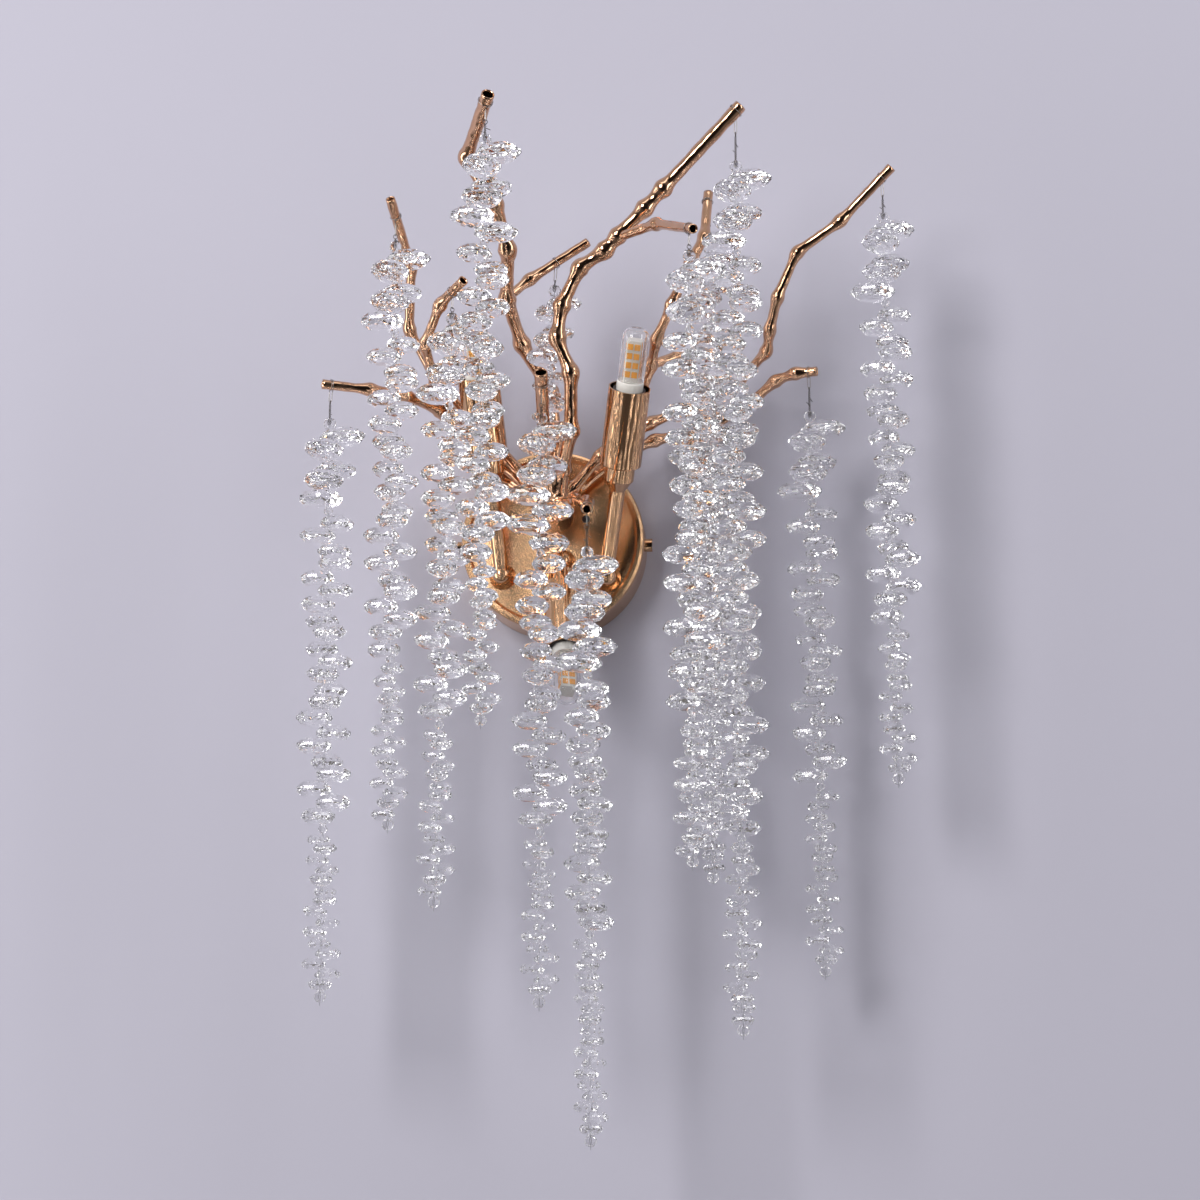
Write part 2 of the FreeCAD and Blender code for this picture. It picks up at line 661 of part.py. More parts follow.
def cut_stone(outline, length, width, levels):
    """A faceted solid: one outline, repeated at each (height, share) level."""
    rings = [
        [Vector(x * length * share, y * width * share, height) for x, y in outline]
        for height, share in levels
    ]
    faces = [Part.Face(Part.makePolygon(ring + ring[:1])) for ring in (rings[0], rings[-1])]
    count = len(outline)
    for lower, upper in zip(rings, rings[1:]):
        for k in range(count):
            after = (k + 1) % count
            loop = [lower[k], lower[after], upper[after], upper[k], lower[k]]
            faces.append(Part.Face(Part.makePolygon(loop)))
    solid = Part.Solid(Part.Shell(faces))
    return solid if solid.Volume > 0 else solid.reversed()


def drilled(stone, height):
    """A stone with a round hole for the wire along its own Z."""
    drill = Part.makeCylinder(size("hole_radius"), 2 * height, Vector(0, 0, -height))
    return stone.cut(drill).Solids[0]


def crystal(kind, tilt):
    """A flat marquise crystal, drilled off its middle and tilted on the wire."""
    length, width, thick = (size(kind + part) for part in ("_length", "_width", "_thick"))
    table, girdle = size("table_share"), size("girdle") / 2
    stone = cut_stone(
        MARQUISE, length, width,
        [(-thick / 2, table), (-girdle, 1.0), (girdle, 1.0), (thick / 2, table)],
    )
    stone.translate(Vector(size("hole_offset_share") * length, 0, 0))
    stone.rotate(Vector(0, 0, 0), Vector(0, 1, 0), tilt)
    return drilled(stone, thick)


def bead(across):
    """A round bead with three bands of facets."""
    radius = across / 2
    high, wide = 0.92 * radius, 0.42
    return drilled(
        cut_stone(OCTAGON, across, across,
                  [(-high, wide), (-0.42 * radius, 0.94), (0.42 * radius, 0.94), (high, wide)]),
        across,
    )


TILTS = (-1, 0, 1)
stones = {
    (kind, tilt): crystal(kind, tilt * size("tilt_angle"))
    for kind in ("big", "middle", "small") for tilt in TILTS
}
beads = {kind: bead(size(kind)) for kind in ("top_bead", "middle_bead", "end_bead")}

# Each strand: the branch that carries it, how far back from the open end its wire is
# tied, the twisted length above the top bead, the swing axis, how many degrees the
# strand leans to the viewer's right, and how many crystals of each kind hang on it.
SWING_FORE = Vector(-1, 0, 0)  # a positive swing brings the tip to the viewer
SWING_SIDE = Vector(0, 1, 0)  # a positive swing brings the tip to the viewer's left
STRANDS = {
    "strand_01": ("branch_low_left", 5.0, 9.0, SWING_FORE, 0.0, (5, 22, 15)),
    "strand_02": ("branch_outer_left", 17.0, 2.5, SWING_FORE, 0.0, (5, 23, 15)),
    "strand_03": ("branch_inner_left", 14.0, 1.5, SWING_FORE, -1.2, (5, 22, 16)),
    "strand_04": ("branch_tall_left", 9.0, 7.0, SWING_FORE, 0.0, (6, 22, 14)),
    "strand_05": ("branch_tall_left_fork", 28.0, 1.5, SWING_FORE, -2.0, (0, 5, 5)),
    "strand_06": ("branch_front", 13.0, 4.0, SWING_FORE, 0.0, (8, 19, 15)),
    "strand_07": ("branch_short", 8.0, 11.0, SWING_FORE, 0.4, (7, 17, 18)),
    "strand_08": ("branch_tall_right", 11.0, 16.0, SWING_SIDE, 0.0, (5, 41, 17)),
    "strand_09": ("branch_tall_right_fork", 3.5, 1.5, SWING_SIDE, 0.0, (4, 26, 13)),
    "strand_10": ("branch_inner_right", 14.0, 10.0, SWING_SIDE, 0.0, (0, 34, 14)),
    "strand_11": ("branch_low_right", 5.0, 13.0, SWING_FORE, 0.8, (5, 20, 17)),
    "strand_12": ("branch_far_right", 13.0, 9.0, SWING_FORE, 0.5, (5, 23, 14)),
    "strand_13": ("branch_inner_right_fork", 3.5, 2.0, SWING_SIDE, 0.0, (0, 24, 14)),
}


def torus(spot, axis, radius, wire="wire_radius"):
    """A ring of hanging wire."""
    return Part.makeTorus(radius, size(wire), spot, axis)


def tie(route, setback, radius, axis):
    """The loop round a branch, with the small eye below it, and where the strand turns."""
    tip, before = Vector(*route[-1]), Vector(*route[-2])
    along = (tip - before).normalize()
    hang = tip - along * setback
    down = Vector(0, 0, -1)
    under = (down - along * down.dot(along)).normalize()
    loop_radius = radius + size("tie_wire_radius") + size("tie_gap") + size("tie_slack")
    middle = hang + under * size("tie_slack")
    low = middle + under * loop_radius
    eye = low + down * size("eye_radius")
    loop = torus(middle, along, loop_radius, "tie_wire_radius")
    loop = loop.fuse(torus(eye, axis.cross(down), size("eye_radius"))).Solids[0]
    lift = 2 * size("wire_radius") + size("eye_gap") - 3 * size("eye_radius")
    return loop, low + Vector(0, 0, lift)


def strand_stack(counts, start):
    """Crystals and beads along the wire, from the top bead down: solids and end height."""
    solids = []
    gap = size("bead_gap")

    def add_bead(kind, height):
        one = beads[kind].copy()
        one.translate(Vector(0, 0, height - 0.46 * size(kind)))
        solids.append(one)
        return height - 0.92 * size(kind) - gap

    height = add_bead("top_bead", start)
    number = 0
    for kind, count in zip(("big", "middle", "small"), counts):
        if count and number:
            height = add_bead("middle_bead", height)
        thick, pitch = size(kind + "_thick"), size(kind + "_thick") + size("stack_gap")
        for k in range(count):
            one = stones[kind, TILTS[(5 * number + k) % 3]].copy()
            angle = number * size("turn_step") + size("turn_sway") * math.sin(1.7 * number)
            one.rotate(Vector(0, 0, 0), Vector(0, 0, 1), angle)
            one.translate(Vector(0, 0, height - thick / 2 - k * pitch - size("stack_gap") / 2))
            solids.append(one)
            number += 1
        height -= count * pitch + gap
    return solids, add_bead("end_bead", height)


ties = []
for strand_name, (branch_name, setback, twist, axis, lean, counts) in STRANDS.items():
    radius = size("trunk_radius") if branch_name in TRUNKS else size("tube_radius")
    loop, pivot = tie(BRANCHES[branch_name][0], setback, radius, axis)
    ties.append(loop)
    top = -size("eye_radius") - size("wire_radius") - twist
    solids, end = strand_stack(counts, top)
    crimp = end - size("end_length")
    wire = torus(Vector(0, 0, 0), axis, size("eye_radius")).fuse([
        Part.makeCylinder(size("twist_radius"), twist + size("wire_radius") / 2, Vector(0, 0, top)),
        Part.makeCylinder(size("wire_radius"), top - crimp, Vector(0, 0, crimp)),
        Part.makeSphere(size("crimp_radius"), Vector(0, 0, end - size("crimp_radius"))),
    ])
    place = Placement(pivot, Rotation(Vector(0, 1, 0), -lean))
    swing_axis = place.Rotation.multVec(axis)
    feature(strand_name + "_wire", wire.Solids[0], place)
    feature(strand_name + "_crystals", Part.makeCompound(solids), place)
    print("hinge", strand_name, "pivot", [round(c, 2) for c in pivot], "axis",
          [round(c, 6) for c in swing_axis],
          "wire", round(-crimp, 1), "stones", len(solids))
feature("hanging_ties", Part.makeCompound(ties))

# ---------------------------------------------------------------- check and write
doc.recompute()
for thing in doc.Objects:
    if "Invalid" in thing.State or "Error" in thing.State:
        raise RuntimeError("failed: " + thing.Name)
for piece in kept:
    if piece.Shape.isNull() or not piece.Shape.isValid():
        raise RuntimeError("bad solid: " + piece.Label)
    piece.Shape.exportStep("parts/%s.step" % piece.Label)
print("pieces written", len(kept), "solids", sum(len(piece.Shape.Solids) for piece in kept))
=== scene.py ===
# %% [markdown]
# # A crystal wall sconce, one piece at a time
# The sconce is a round metal wall pan that carries three small pin-base lamps and a
# bunch of bent tube branches. A strand of cut crystals hangs from each branch. The
# engineering model already gives every piece its place and size in metres, so this
# lesson dresses it: it gives each piece the finish of the real thing, and it builds
# the pieces whose small forms the eye looks for. The pan's back lies in the plane
# y = 0, the viewer stands on the -Y side, and +Z is up.

# %% Load the engineering frame
import json
import math

import bmesh
import bpy
from mathutils import Matrix, Vector, noise


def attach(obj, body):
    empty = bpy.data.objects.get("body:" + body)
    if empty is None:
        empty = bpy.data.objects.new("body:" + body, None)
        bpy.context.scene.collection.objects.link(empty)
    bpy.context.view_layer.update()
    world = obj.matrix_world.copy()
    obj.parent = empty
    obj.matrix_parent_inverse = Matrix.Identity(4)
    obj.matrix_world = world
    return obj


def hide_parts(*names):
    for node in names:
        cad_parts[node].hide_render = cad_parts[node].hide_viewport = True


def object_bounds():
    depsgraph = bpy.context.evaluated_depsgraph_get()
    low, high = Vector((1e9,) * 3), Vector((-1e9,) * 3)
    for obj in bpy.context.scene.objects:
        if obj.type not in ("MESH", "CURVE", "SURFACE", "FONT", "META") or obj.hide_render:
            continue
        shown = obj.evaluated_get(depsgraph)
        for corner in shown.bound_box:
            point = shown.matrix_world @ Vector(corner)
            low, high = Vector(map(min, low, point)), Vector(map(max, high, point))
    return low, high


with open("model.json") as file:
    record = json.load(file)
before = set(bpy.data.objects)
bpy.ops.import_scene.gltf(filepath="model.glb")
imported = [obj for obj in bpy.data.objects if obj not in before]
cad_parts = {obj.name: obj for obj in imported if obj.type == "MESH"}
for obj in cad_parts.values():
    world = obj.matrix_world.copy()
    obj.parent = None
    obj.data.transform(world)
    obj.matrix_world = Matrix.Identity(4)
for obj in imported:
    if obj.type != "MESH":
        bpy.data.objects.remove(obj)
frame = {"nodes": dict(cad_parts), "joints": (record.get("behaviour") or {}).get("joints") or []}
cad_box = [list(corner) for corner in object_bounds()]
nodes = frame["nodes"]
joint_of = {joint["child"]: joint for joint in frame["joints"]}
print("pieces loaded:", len(nodes), "box:", cad_box)

# %% [markdown]
# ## Helpers
# A finish is a small tree of shader nodes. The first helpers turn a hex colour, as a
# painter would pick it, into the linear numbers that the renderer adds up, add a node
# with its settings and links, and lay a pattern on a piece's own coordinates.

# %% Colour and node helpers


def linear(hex_colour):
    """sRGB hex to linear RGBA."""
    channels = [int(hex_colour[k : k + 2], 16) / 255 for k in (1, 3, 5)]
    curve = [c / 12.92 if c <= 0.04045 else ((c + 0.055) / 1.055) ** 2.4 for c in channels]
    return (*curve, 1.0)


def add_node(tree, kind, settings=None, inputs=None, links=None):
    """One node: its settings, its fixed inputs, and links from other nodes' outputs."""
    node = tree.nodes.new(kind)
    for name, value in (settings or {}).items():
        setattr(node, name, value)
    for socket, value in (inputs or {}).items():
        node.inputs[socket].default_value = value
    for socket, source in (links or {}).items():
        tree.links.new(source, node.inputs[socket])
    return node


def new_material(name):
    """An empty material: returns it, its node tree and its output node."""
    material = bpy.data.materials.new(name)
    material.use_nodes = True
    tree = material.node_tree
    tree.nodes.clear()
    return material, tree, tree.nodes.new("ShaderNodeOutputMaterial")


def object_pattern(tree, kind, scale, settings=None, inputs=None):
    """A texture on the piece's own coordinates; scale is in repeats per metre."""
    place = add_node(tree, "ShaderNodeTexCoord")
    return add_node(
        tree, kind, settings, {"Scale": scale, **(inputs or {})}, {"Vector": place.outputs["Object"]}
    )


print("white in linear numbers:", linear("#FFFFFF"))

# %% [markdown]
# Two more helpers deal with pieces. One turns a finished bmesh into a piece that rides
# on a body of the engineering model, so that it moves with it. The other gives a piece
# of the engineering model a finish and keeps its shape.

# %% Piece helpers


def piece_from(mesh_maker, name, material, body, smooth=True):
    """Turns a bmesh into a piece that rides on a body of the engineering model."""
    mesh = bpy.data.meshes.new(name)
    mesh_maker.to_mesh(mesh)
    mesh_maker.free()
    mesh.materials.append(material)
    piece = bpy.data.objects.new(name, mesh)
    bpy.context.scene.collection.objects.link(piece)
    for face in mesh.polygons:
        face.use_smooth = smooth
    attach(piece, body)
    return piece


def repaint(names, material):
    """Gives engineering pieces a finish, keeping their shape."""
    for name in names:
        mesh = nodes[name].data
        mesh.materials.clear()
        mesh.materials.append(material)


print("bodies that a piece can ride on:", len(joint_of) + 1)

# %% [markdown]
# ## The rose-gold plating
# The pan, branches, stems and cups are brass tube and sheet, polished and then plated
# a warm rose gold. Plating is a thin mirror: metallic, low roughness, with a colour
# that the reflections take on. Hand polishing leaves two traces that keep it from
# looking like a computer's perfect mirror: slow waves in the surface, about a
# centimetre across, and fine wipe marks that blur the gloss here and there. The pan
# is brushed, so it is duller than the tubes and cups.

# %% Rose-gold plated brass
WAVE_PER_METRE = 90  # slow polishing waves, about 11 mm across
WIPE_PER_METRE = 900  # wipe marks, drawn about 1 mm wide so that they show
GLOSS_SPREAD = (0.6, 1.5)  # wiping leaves the roughness between these shares of its value


def plated_metal(name, colour, dark_colour, gloss, wave_height):
    """Polished plating: slow waves in the surface and uneven gloss."""
    material, tree, output = new_material(name)
    waves = object_pattern(tree, "ShaderNodeTexNoise", WAVE_PER_METRE, inputs={"Detail": 2.0})
    wipes = object_pattern(
        tree, "ShaderNodeTexNoise", WIPE_PER_METRE, inputs={"Detail": 3.0, "Roughness": 0.6}
    )
    tint = add_node(
        tree, "ShaderNodeMix", {"data_type": "RGBA"},
        {"A": linear(colour), "B": linear(dark_colour)}, {"Factor": waves.outputs["Fac"]},
    )
    blur = add_node(
        tree, "ShaderNodeMapRange", links={"Value": wipes.outputs["Fac"]},
        inputs={"To Min": gloss * GLOSS_SPREAD[0], "To Max": gloss * GLOSS_SPREAD[1]},
    )
    bumps = add_node(
        tree, "ShaderNodeBump", inputs={"Strength": 0.35, "Distance": wave_height},
        links={"Height": waves.outputs["Fac"]},
    )
    metal = add_node(
        tree, "ShaderNodeBsdfPrincipled", inputs={"Metallic": 1.0},
        links={"Base Color": tint.outputs["Result"], "Roughness": blur.outputs["Result"],
               "Normal": bumps.outputs["Normal"]},
    )
    tree.links.new(metal.outputs["BSDF"], output.inputs["Surface"])
    return material


branch_gold = plated_metal("rose_gold_tube", "#DFB493", "#C39879", 0.11, 0.0007)
sheet_gold = plated_metal("rose_gold_sheet", "#DDB48F", "#C0956F", 0.08, 0.0002)
pan_gold = plated_metal("rose_gold_brushed_pan", "#E2B88F", "#D6AC83", 0.20, 0.00002)
print("plating finishes:", branch_gold.name, sheet_gold.name, pan_gold.name)

# %% [markdown]
# ## Cut crystal
# The crystals are pressed and fire-polished glass. What the eye sees is not their
# surface but bent light: bright flashes where a facet lines up with a lamp, dark
# specks where it lines up with the dim part of the room. So the glass is clear and
# nearly colourless, with very smooth facets. Its index of 1.52 is at the low end for
# crystal, which keeps the strands light and easy to see through. A faint haze that
# comes and goes stands for fingerprints.

# %% Leaded crystal glass
HAZE_PER_METRE = 160  # patches of haze, about 6 mm across


def clear_glass(name, colour, index, haze):
    """Clear polished glass with a faint, patchy haze."""
    material, tree, output = new_material(name)
    patches = object_pattern(tree, "ShaderNodeTexNoise", HAZE_PER_METRE, inputs={"Detail": 1.0})
    gloss = add_node(
        tree, "ShaderNodeMapRange",
        inputs={"From Min": 0.45, "From Max": 0.8, "To Min": 0.0, "To Max": haze},
        links={"Value": patches.outputs["Fac"]},
    )
    glass = add_node(
        tree, "ShaderNodeBsdfPrincipled",
        inputs={"Base Color": linear(colour), "IOR": index, "Transmission Weight": 1.0},
        links={"Roughness": gloss.outputs["Result"]},
    )
    tree.links.new(glass.outputs["BSDF"], output.inputs["Surface"])
    return material


crystal_glass = clear_glass("leaded_crystal", "#FFFFFF", 1.52, 0.015)
cover_glass = clear_glass("lamp_cover_glass", "#FDFDFC", 1.46, 0.03)
print("glasses:", crystal_glass.name, cover_glass.name)

# %% [markdown]
# ## Small parts' finishes
# The lamp feet are glazed white ceramic. The sockets below them are coloured dark brown: painted shade that
# stands for the shade down in the cups round the feet. The connector behind the pan is moulded plastic, and
# the bracket and the hanging wire are steel. Each gets a faint unevenness at the size of its own making:
# glaze pools, moulding grain and drawing lines.

# %% Ceramic, plastic and steel


def plain_finish(name, colour, other, per_metre, gloss, metallic=0.0, bump=0.0, coat=0.0):
    """A solid finish with uneven colour and a fine bump."""
    material, tree, output = new_material(name)
    grain = object_pattern(tree, "ShaderNodeTexNoise", per_metre, inputs={"Detail": 3.0})
    tint = add_node(
        tree, "ShaderNodeMix", {"data_type": "RGBA"},
        {"A": linear(colour), "B": linear(other)}, {"Factor": grain.outputs["Fac"]},
    )
    bumps = add_node(
        tree, "ShaderNodeBump", inputs={"Strength": 0.3, "Distance": bump},
        links={"Height": grain.outputs["Fac"]},
    )
    surface = add_node(
        tree, "ShaderNodeBsdfPrincipled",
        inputs={"Metallic": metallic, "Roughness": gloss, "Coat Weight": coat},
        links={"Base Color": tint.outputs["Result"], "Normal": bumps.outputs["Normal"]},
    )
    tree.links.new(surface.outputs["BSDF"], output.inputs["Surface"])
    return material


ceramic = plain_finish("glazed_ceramic", "#F4F2EE", "#E9E6E0", 220, 0.22, bump=0.0001, coat=0.5)
moulded_white = plain_finish("moulded_plastic", "#ECEBE6", "#E2E0DA", 900, 0.45, bump=0.00005)
zinc_steel = plain_finish("zinc_plated_steel", "#B9BBBE", "#A4A6AA", 300, 0.32, metallic=1.0, bump=0.00005)
dark_wire = plain_finish("drawn_steel_wire", "#6B6662", "#544F4B", 1500, 0.35, metallic=1.0, bump=0.00003)
bright_wire = plain_finish("bright_steel_wire", "#D9D9DC", "#C6C6CA", 1500, 0.3, metallic=1.0, bump=0.00002)
tie_wire = plain_finish("tied_steel_wire", "#A5A1A0", "#8B8785", 1500, 0.3, metallic=1.0, bump=0.00002)
# the sockets' dark brown is painted shade: it stands for the shade down in the cups round the lamp feet
socket_painted_shade = plain_finish("unglazed_socket", "#3A302B", "#2B2320", 400, 0.6, bump=0.00005)
board_white = plain_finish("circuit_board", "#E6E1DC", "#D8D2CD", 700, 0.4, bump=0.00003, coat=0.3)
phosphor = plain_finish("chip_phosphor", "#FFB547", "#FFA62E", 1200, 0.35, bump=0.00003, coat=0.6)
print("small finishes made:", ceramic.name, moulded_white.name, zinc_steel.name, phosphor.name)

# %% [markdown]
# ## Dressing the engineering pieces
# The shapes that are right already keep their mesh and get a finish: pan, stems, cups,
# sockets, screws, and what hides behind the pan. The names say what each piece is, so
# groups of names are enough. The other pieces are built anew further down.

# %% Finish the engineering pieces
sheet_names = [name for name in nodes if name.endswith(("_stem", "_cup"))]
socket_names = [name for name in nodes if name.endswith("_socket")]
repaint(["screws_and_nuts", *sheet_names], sheet_gold)
repaint(["canopy"], pan_gold)
# the sockets get the dark finish that paints the shade in the cups
repaint(socket_names, socket_painted_shade)
repaint(["terminal_block"], moulded_white)
repaint(["wall_bracket"], zinc_steel)
print("stems and cups:", len(sheet_names), "sockets:", len(socket_names))

# %% [markdown]
# ## Bent branch tubes
# Each branch on the real sconce is a thin-walled tube that was bent by hand, pressed and hammered so that
# it looks like a twig: it swells at every bend and its surface wanders. Between the bends it runs straight.
# Rings of points along the listed route give the tube; they are fatter near the bends and wander a little
# with a slow noise, and a Solidify modifier gives the open end its wall.

# %% Routes of the branches, in whole millimetres
MM = 0.001
TUBE_RADIUS = 2.9 * MM
TRUNK_RADIUS = 3.9 * MM
TUBE_WALL = 0.6 * MM
TUBE_SIDES = 20
BRANCH_ROUTES = {
    "branch_tall_right": [(4, -57, 13), (9, -66, 34), (15, -80, 54), (16, -92, 86), (8, -96, 106),
        (11, -99, 125), (22, -103, 147), (37, -106, 156), (45, -109, 164), (61, -113, 179),
        (72, -116, 190), (118, -122, 238)],
    "branch_tall_right_fork": [(45, -109, 163), (69, -132, 163), (92, -172, 146)],
    "branch_inner_right": [(4, -47, 15), (30, -50, 46), (52, -58, 72), (62, -70, 96),
        (66, -86, 107), (76, -102, 123), (87, -102, 148), (95, -92, 168), (97, -80, 199)],
    "branch_inner_right_fork": [(62, -70, 96), (79, -58, 106), (96, -49, 117)],
    "branch_far_right": [(3, -40, 17), (35, -38, 52), (59, -32, 71), (89, -27, 83), (113, -30, 97),
        (130, -46, 110), (132, -56, 120), (137, -64, 138), (149, -70, 164), (175, -75, 181),
        (206, -81, 212)],
    "branch_low_right": [(3, -38, 18), (38, -38, 47), (62, -33, 60), (89, -28, 66), (116, -28, 80),
        (135, -42, 93), (147, -50, 95), (160, -53, 95)],
    "branch_low_left": [(1, -40, 17), (-31, -36, 38), (-54, -41, 57), (-65, -62, 73),
        (-83, -82, 77), (-102, -96, 77), (-129, -106, 78)],
    "branch_inner_left": [(1, -48, 15), (-30, -42, 45), (-52, -50, 64), (-66, -76, 84),
        (-70, -98, 103), (-59, -116, 122), (-43, -136, 130)],
    "branch_outer_left": [(1, -42, 17), (-36, -44, 60), (-66, -56, 90), (-83, -70, 121),
        (-80, -86, 155), (-88, -124, 185)],
    "branch_tall_left": [(2, -50, 16), (3, -46, 58), (0, -48, 87), (-16, -62, 113),
        (-23, -84, 134), (-20, -108, 157), (-26, -124, 180), (-42, -136, 205), (-25, -178, 228)],
    "branch_tall_left_fork": [(-23, -84, 135), (-10, -76, 149), (24, -68, 174)],
    "branch_front": [(3, -57, 14), (-1, -74, 44), (1, -122, 78)],
    "branch_short": [(5, -60, 12), (18, -80, 12), (27, -110, 3), (30, -152, -12)],
}
TRUNKS = ("branch_tall_right", "branch_tall_left", "branch_front")
print("branches with a route:", len(BRANCH_ROUTES))

# %% [markdown]
# A tube is swept along its route in three steps. The route is cut into short runs and
# its corners are averaged. Each point then gets a frame that follows the line without
# twisting round it. Last, a circle is set in each frame and joined to the one before.

# %% Helpers that sweep a tube along a route
RUN_STEP = 1.4 * MM  # distance between rings along a branch
CORNER_STEPS = 2  # a corner is averaged over this many rings on each side


def tube_radius(name):
    """The radius of a branch's tube; three trunks are thicker than the rest."""
    return TRUNK_RADIUS if name in TRUNKS else TUBE_RADIUS


def smooth_line(route):
    """Straight runs through a listed route, with the corners rounded off."""
    spots = [Vector(spot) * MM for spot in route]
    fine = []
    for start, end in zip(spots, spots[1:]):
        count = max(2, round((end - start).length / RUN_STEP))
        fine += [start.lerp(end, k / count) for k in range(count)]
    fine.append(spots[-1])
    line = []
    for k in range(len(fine)):
        reach = min(CORNER_STEPS, k, len(fine) - 1 - k)
        window = fine[k - reach : k + reach + 1]
        line.append(sum(window, Vector()) / len(window))
    return line


def ring_frames(line):
    """A turning frame along a line that doesn't twist, one matrix per point."""
    frames = []
    side = None
    for k, spot in enumerate(line):
        ahead = (line[min(k + 1, len(line) - 1)] - line[max(k - 1, 0)]).normalized()
        if side is None:
            side = ahead.orthogonal().normalized()
        side = (side - ahead * side.dot(ahead)).normalized()
        other = ahead.cross(side)
        turn = Matrix((side, other, ahead)).transposed().to_4x4()
        frames.append(Matrix.Translation(spot) @ turn)
    return frames


def swept_tube(line, radius_at, sides):
    """A tube without caps: circles along a line, joined ring to ring."""
    maker = bmesh.new()
    before = None
    for k, place in enumerate(ring_frames(line)):
        ring = bmesh.ops.create_circle(
            maker, cap_ends=False, segments=sides, radius=radius_at(k), matrix=place
        )["verts"]
        edges = list({edge for vertex in ring for edge in vertex.link_edges})
        if before:
            bmesh.ops.bridge_loops(maker, edges=before + edges)
        before = edges
    return maker


print("rings on the longest branch:", max(len(smooth_line(route)) for route in BRANCH_ROUTES.values()))

# %% [markdown]
# Now the tubes themselves. A smooth bump in the radius at every bend makes the
# knuckles, slow noise makes the radius wander, and finer noise along the normals makes
# the hammer dents. The tube stays an open skin until Solidify thickens it inwards.

# %% Twig-like tubes with knuckles and dents
SWELL_REACH = 4.2 * MM  # how far along the tube a bend's swelling fades
SWELL_HEIGHT = 0.48  # how much fatter the tube is at a bend
WANDER = 0.07  # how much the radius wanders between bends
WANDERS_PER_METRE = 120
DENT = 0.24 * MM  # depth of the hammer dents
DENTS_PER_METRE = 230


def branch_piece(name, route):
    """One twig-like tube along a route, open at its end."""
    radius = tube_radius(name)
    line = smooth_line(route)
    corners = [Vector(spot) * MM for spot in route[1:-1]]
    bends = [min(line, key=lambda spot: (spot - corner).length) for corner in corners]

    def radius_at(k):
        spot = line[k]
        swell = max(math.exp(-(((spot - bend).length / SWELL_REACH) ** 2)) for bend in bends)
        wander = noise.noise(spot * WANDERS_PER_METRE)
        return radius * (1 + SWELL_HEIGHT * swell + WANDER * wander)

    maker = swept_tube(line, radius_at, TUBE_SIDES)
    for vertex in maker.verts:
        vertex.co += vertex.normal * DENT * noise.noise(vertex.co * DENTS_PER_METRE)
    bmesh.ops.recalc_face_normals(maker, faces=maker.faces)
    piece = piece_from(maker, name + "_tube", branch_gold, "fixture")
    wall = piece.modifiers.new("wall", "SOLIDIFY")
    wall.thickness = TUBE_WALL
    wall.offset = -1.0
    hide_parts(name)


for name, route in BRANCH_ROUTES.items():
    branch_piece(name, route)
print("branch tubes made:", len(BRANCH_ROUTES))

# %% [markdown]
# ## The brazed cluster
# Where the branches leave the hub they are brazed into one lump: the filler metal runs
# up between neighbouring tubes and draws into thin webs. A voxel remesh makes such a
# lump out of plain parts. The hub, the thickened feet of the branches and a thin plate
# between neighbours go in, and one smooth skin comes out.

# %% Sizes of the cluster and its webs
FOOT_REACH = 34 * MM  # how far up a branch the filler metal creeps
FOOT_LAP = 1.04  # a foot's far end is a little fatter than its branch, and covers it
FOOT_SWELL = 0.55  # how much fatter a foot is at the hub
FOOT_SIDES = 16
WEB_REACH = 20 * MM  # how far up the feet a web climbs
WEB_HALF = 1.1 * MM  # half the thickness of a web
WEB_TAPER = 0.12  # a web's far corners draw in by this share of its width
FLAT_GUARD = Vector((0, -1e-6, 0))  # a web whose corners are in line is set to face the viewer
SKIN_STEP = 1.1 * MM


# joining small shapes into one bmesh is needed here and again for the wires
def add_maker(target, maker):
    """Moves one bmesh into another."""
    mesh = bpy.data.meshes.new("part")
    maker.to_mesh(mesh)
    maker.free()
    target.from_mesh(mesh)
    bpy.data.meshes.remove(mesh)


def web_between(first, second):
    """A thin closed plate between two neighbouring feet."""
    high = first[-1].lerp(second[-1], WEB_TAPER)
    corners = [first[0], second[0], high, second[-1].lerp(first[-1], WEB_TAPER)]
    facing = (corners[1] - corners[0]).cross(corners[2] - corners[0]) + FLAT_GUARD
    facing.normalize()
    maker = bmesh.new()
    for corner in corners:
        for side in (-1, 1):
            maker.verts.new(corner + facing * WEB_HALF * side)
    bmesh.ops.convex_hull(maker, input=maker.verts)
    return maker


print("web thickness in mm:", round(2 * WEB_HALF / MM, 1))

# %% [markdown]
# The feet are the first stretch of each branch that starts at the hub; the forks start
# further out and have none. Sorted round the hub, each foot gets a web to the next.

# %% Put hub, feet and webs together
feet = {}
for name, route in BRANCH_ROUTES.items():
    if not name.endswith("_fork"):
        line = smooth_line(route)
        feet[name] = [spot for spot in line if (spot - line[0]).length < FOOT_REACH]
cluster = bmesh.new()
cluster.from_mesh(nodes["branch_hub"].data)
for name, foot in feet.items():
    radius = tube_radius(name)
    last = len(foot) - 1
    tube = swept_tube(foot, lambda k: radius * (FOOT_LAP + FOOT_SWELL * (1 - k / last)), FOOT_SIDES)
    bmesh.ops.holes_fill(tube, edges=[edge for edge in tube.edges if edge.is_boundary])
    add_maker(cluster, tube)
around = sorted(feet, key=lambda name: math.atan2(feet[name][-1].z, feet[name][-1].x))
for first, second in zip(around, around[1:]):
    first_web, second_web = (
        [spot for spot in feet[name] if (spot - feet[name][0]).length < WEB_REACH]
        for name in (first, second)
    )
    add_maker(cluster, web_between(first_web, second_web))
hub_piece = piece_from(cluster, "brazed_cluster", branch_gold, "fixture")
skin = hub_piece.modifiers.new("skin", "REMESH")
skin.mode = "VOXEL"
skin.voxel_size = SKIN_STEP
skin.use_smooth_shade = True
soften = hub_piece.modifiers.new("soften", "SMOOTH")
soften.factor = 0.5
soften.iterations = 6
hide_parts("branch_hub")
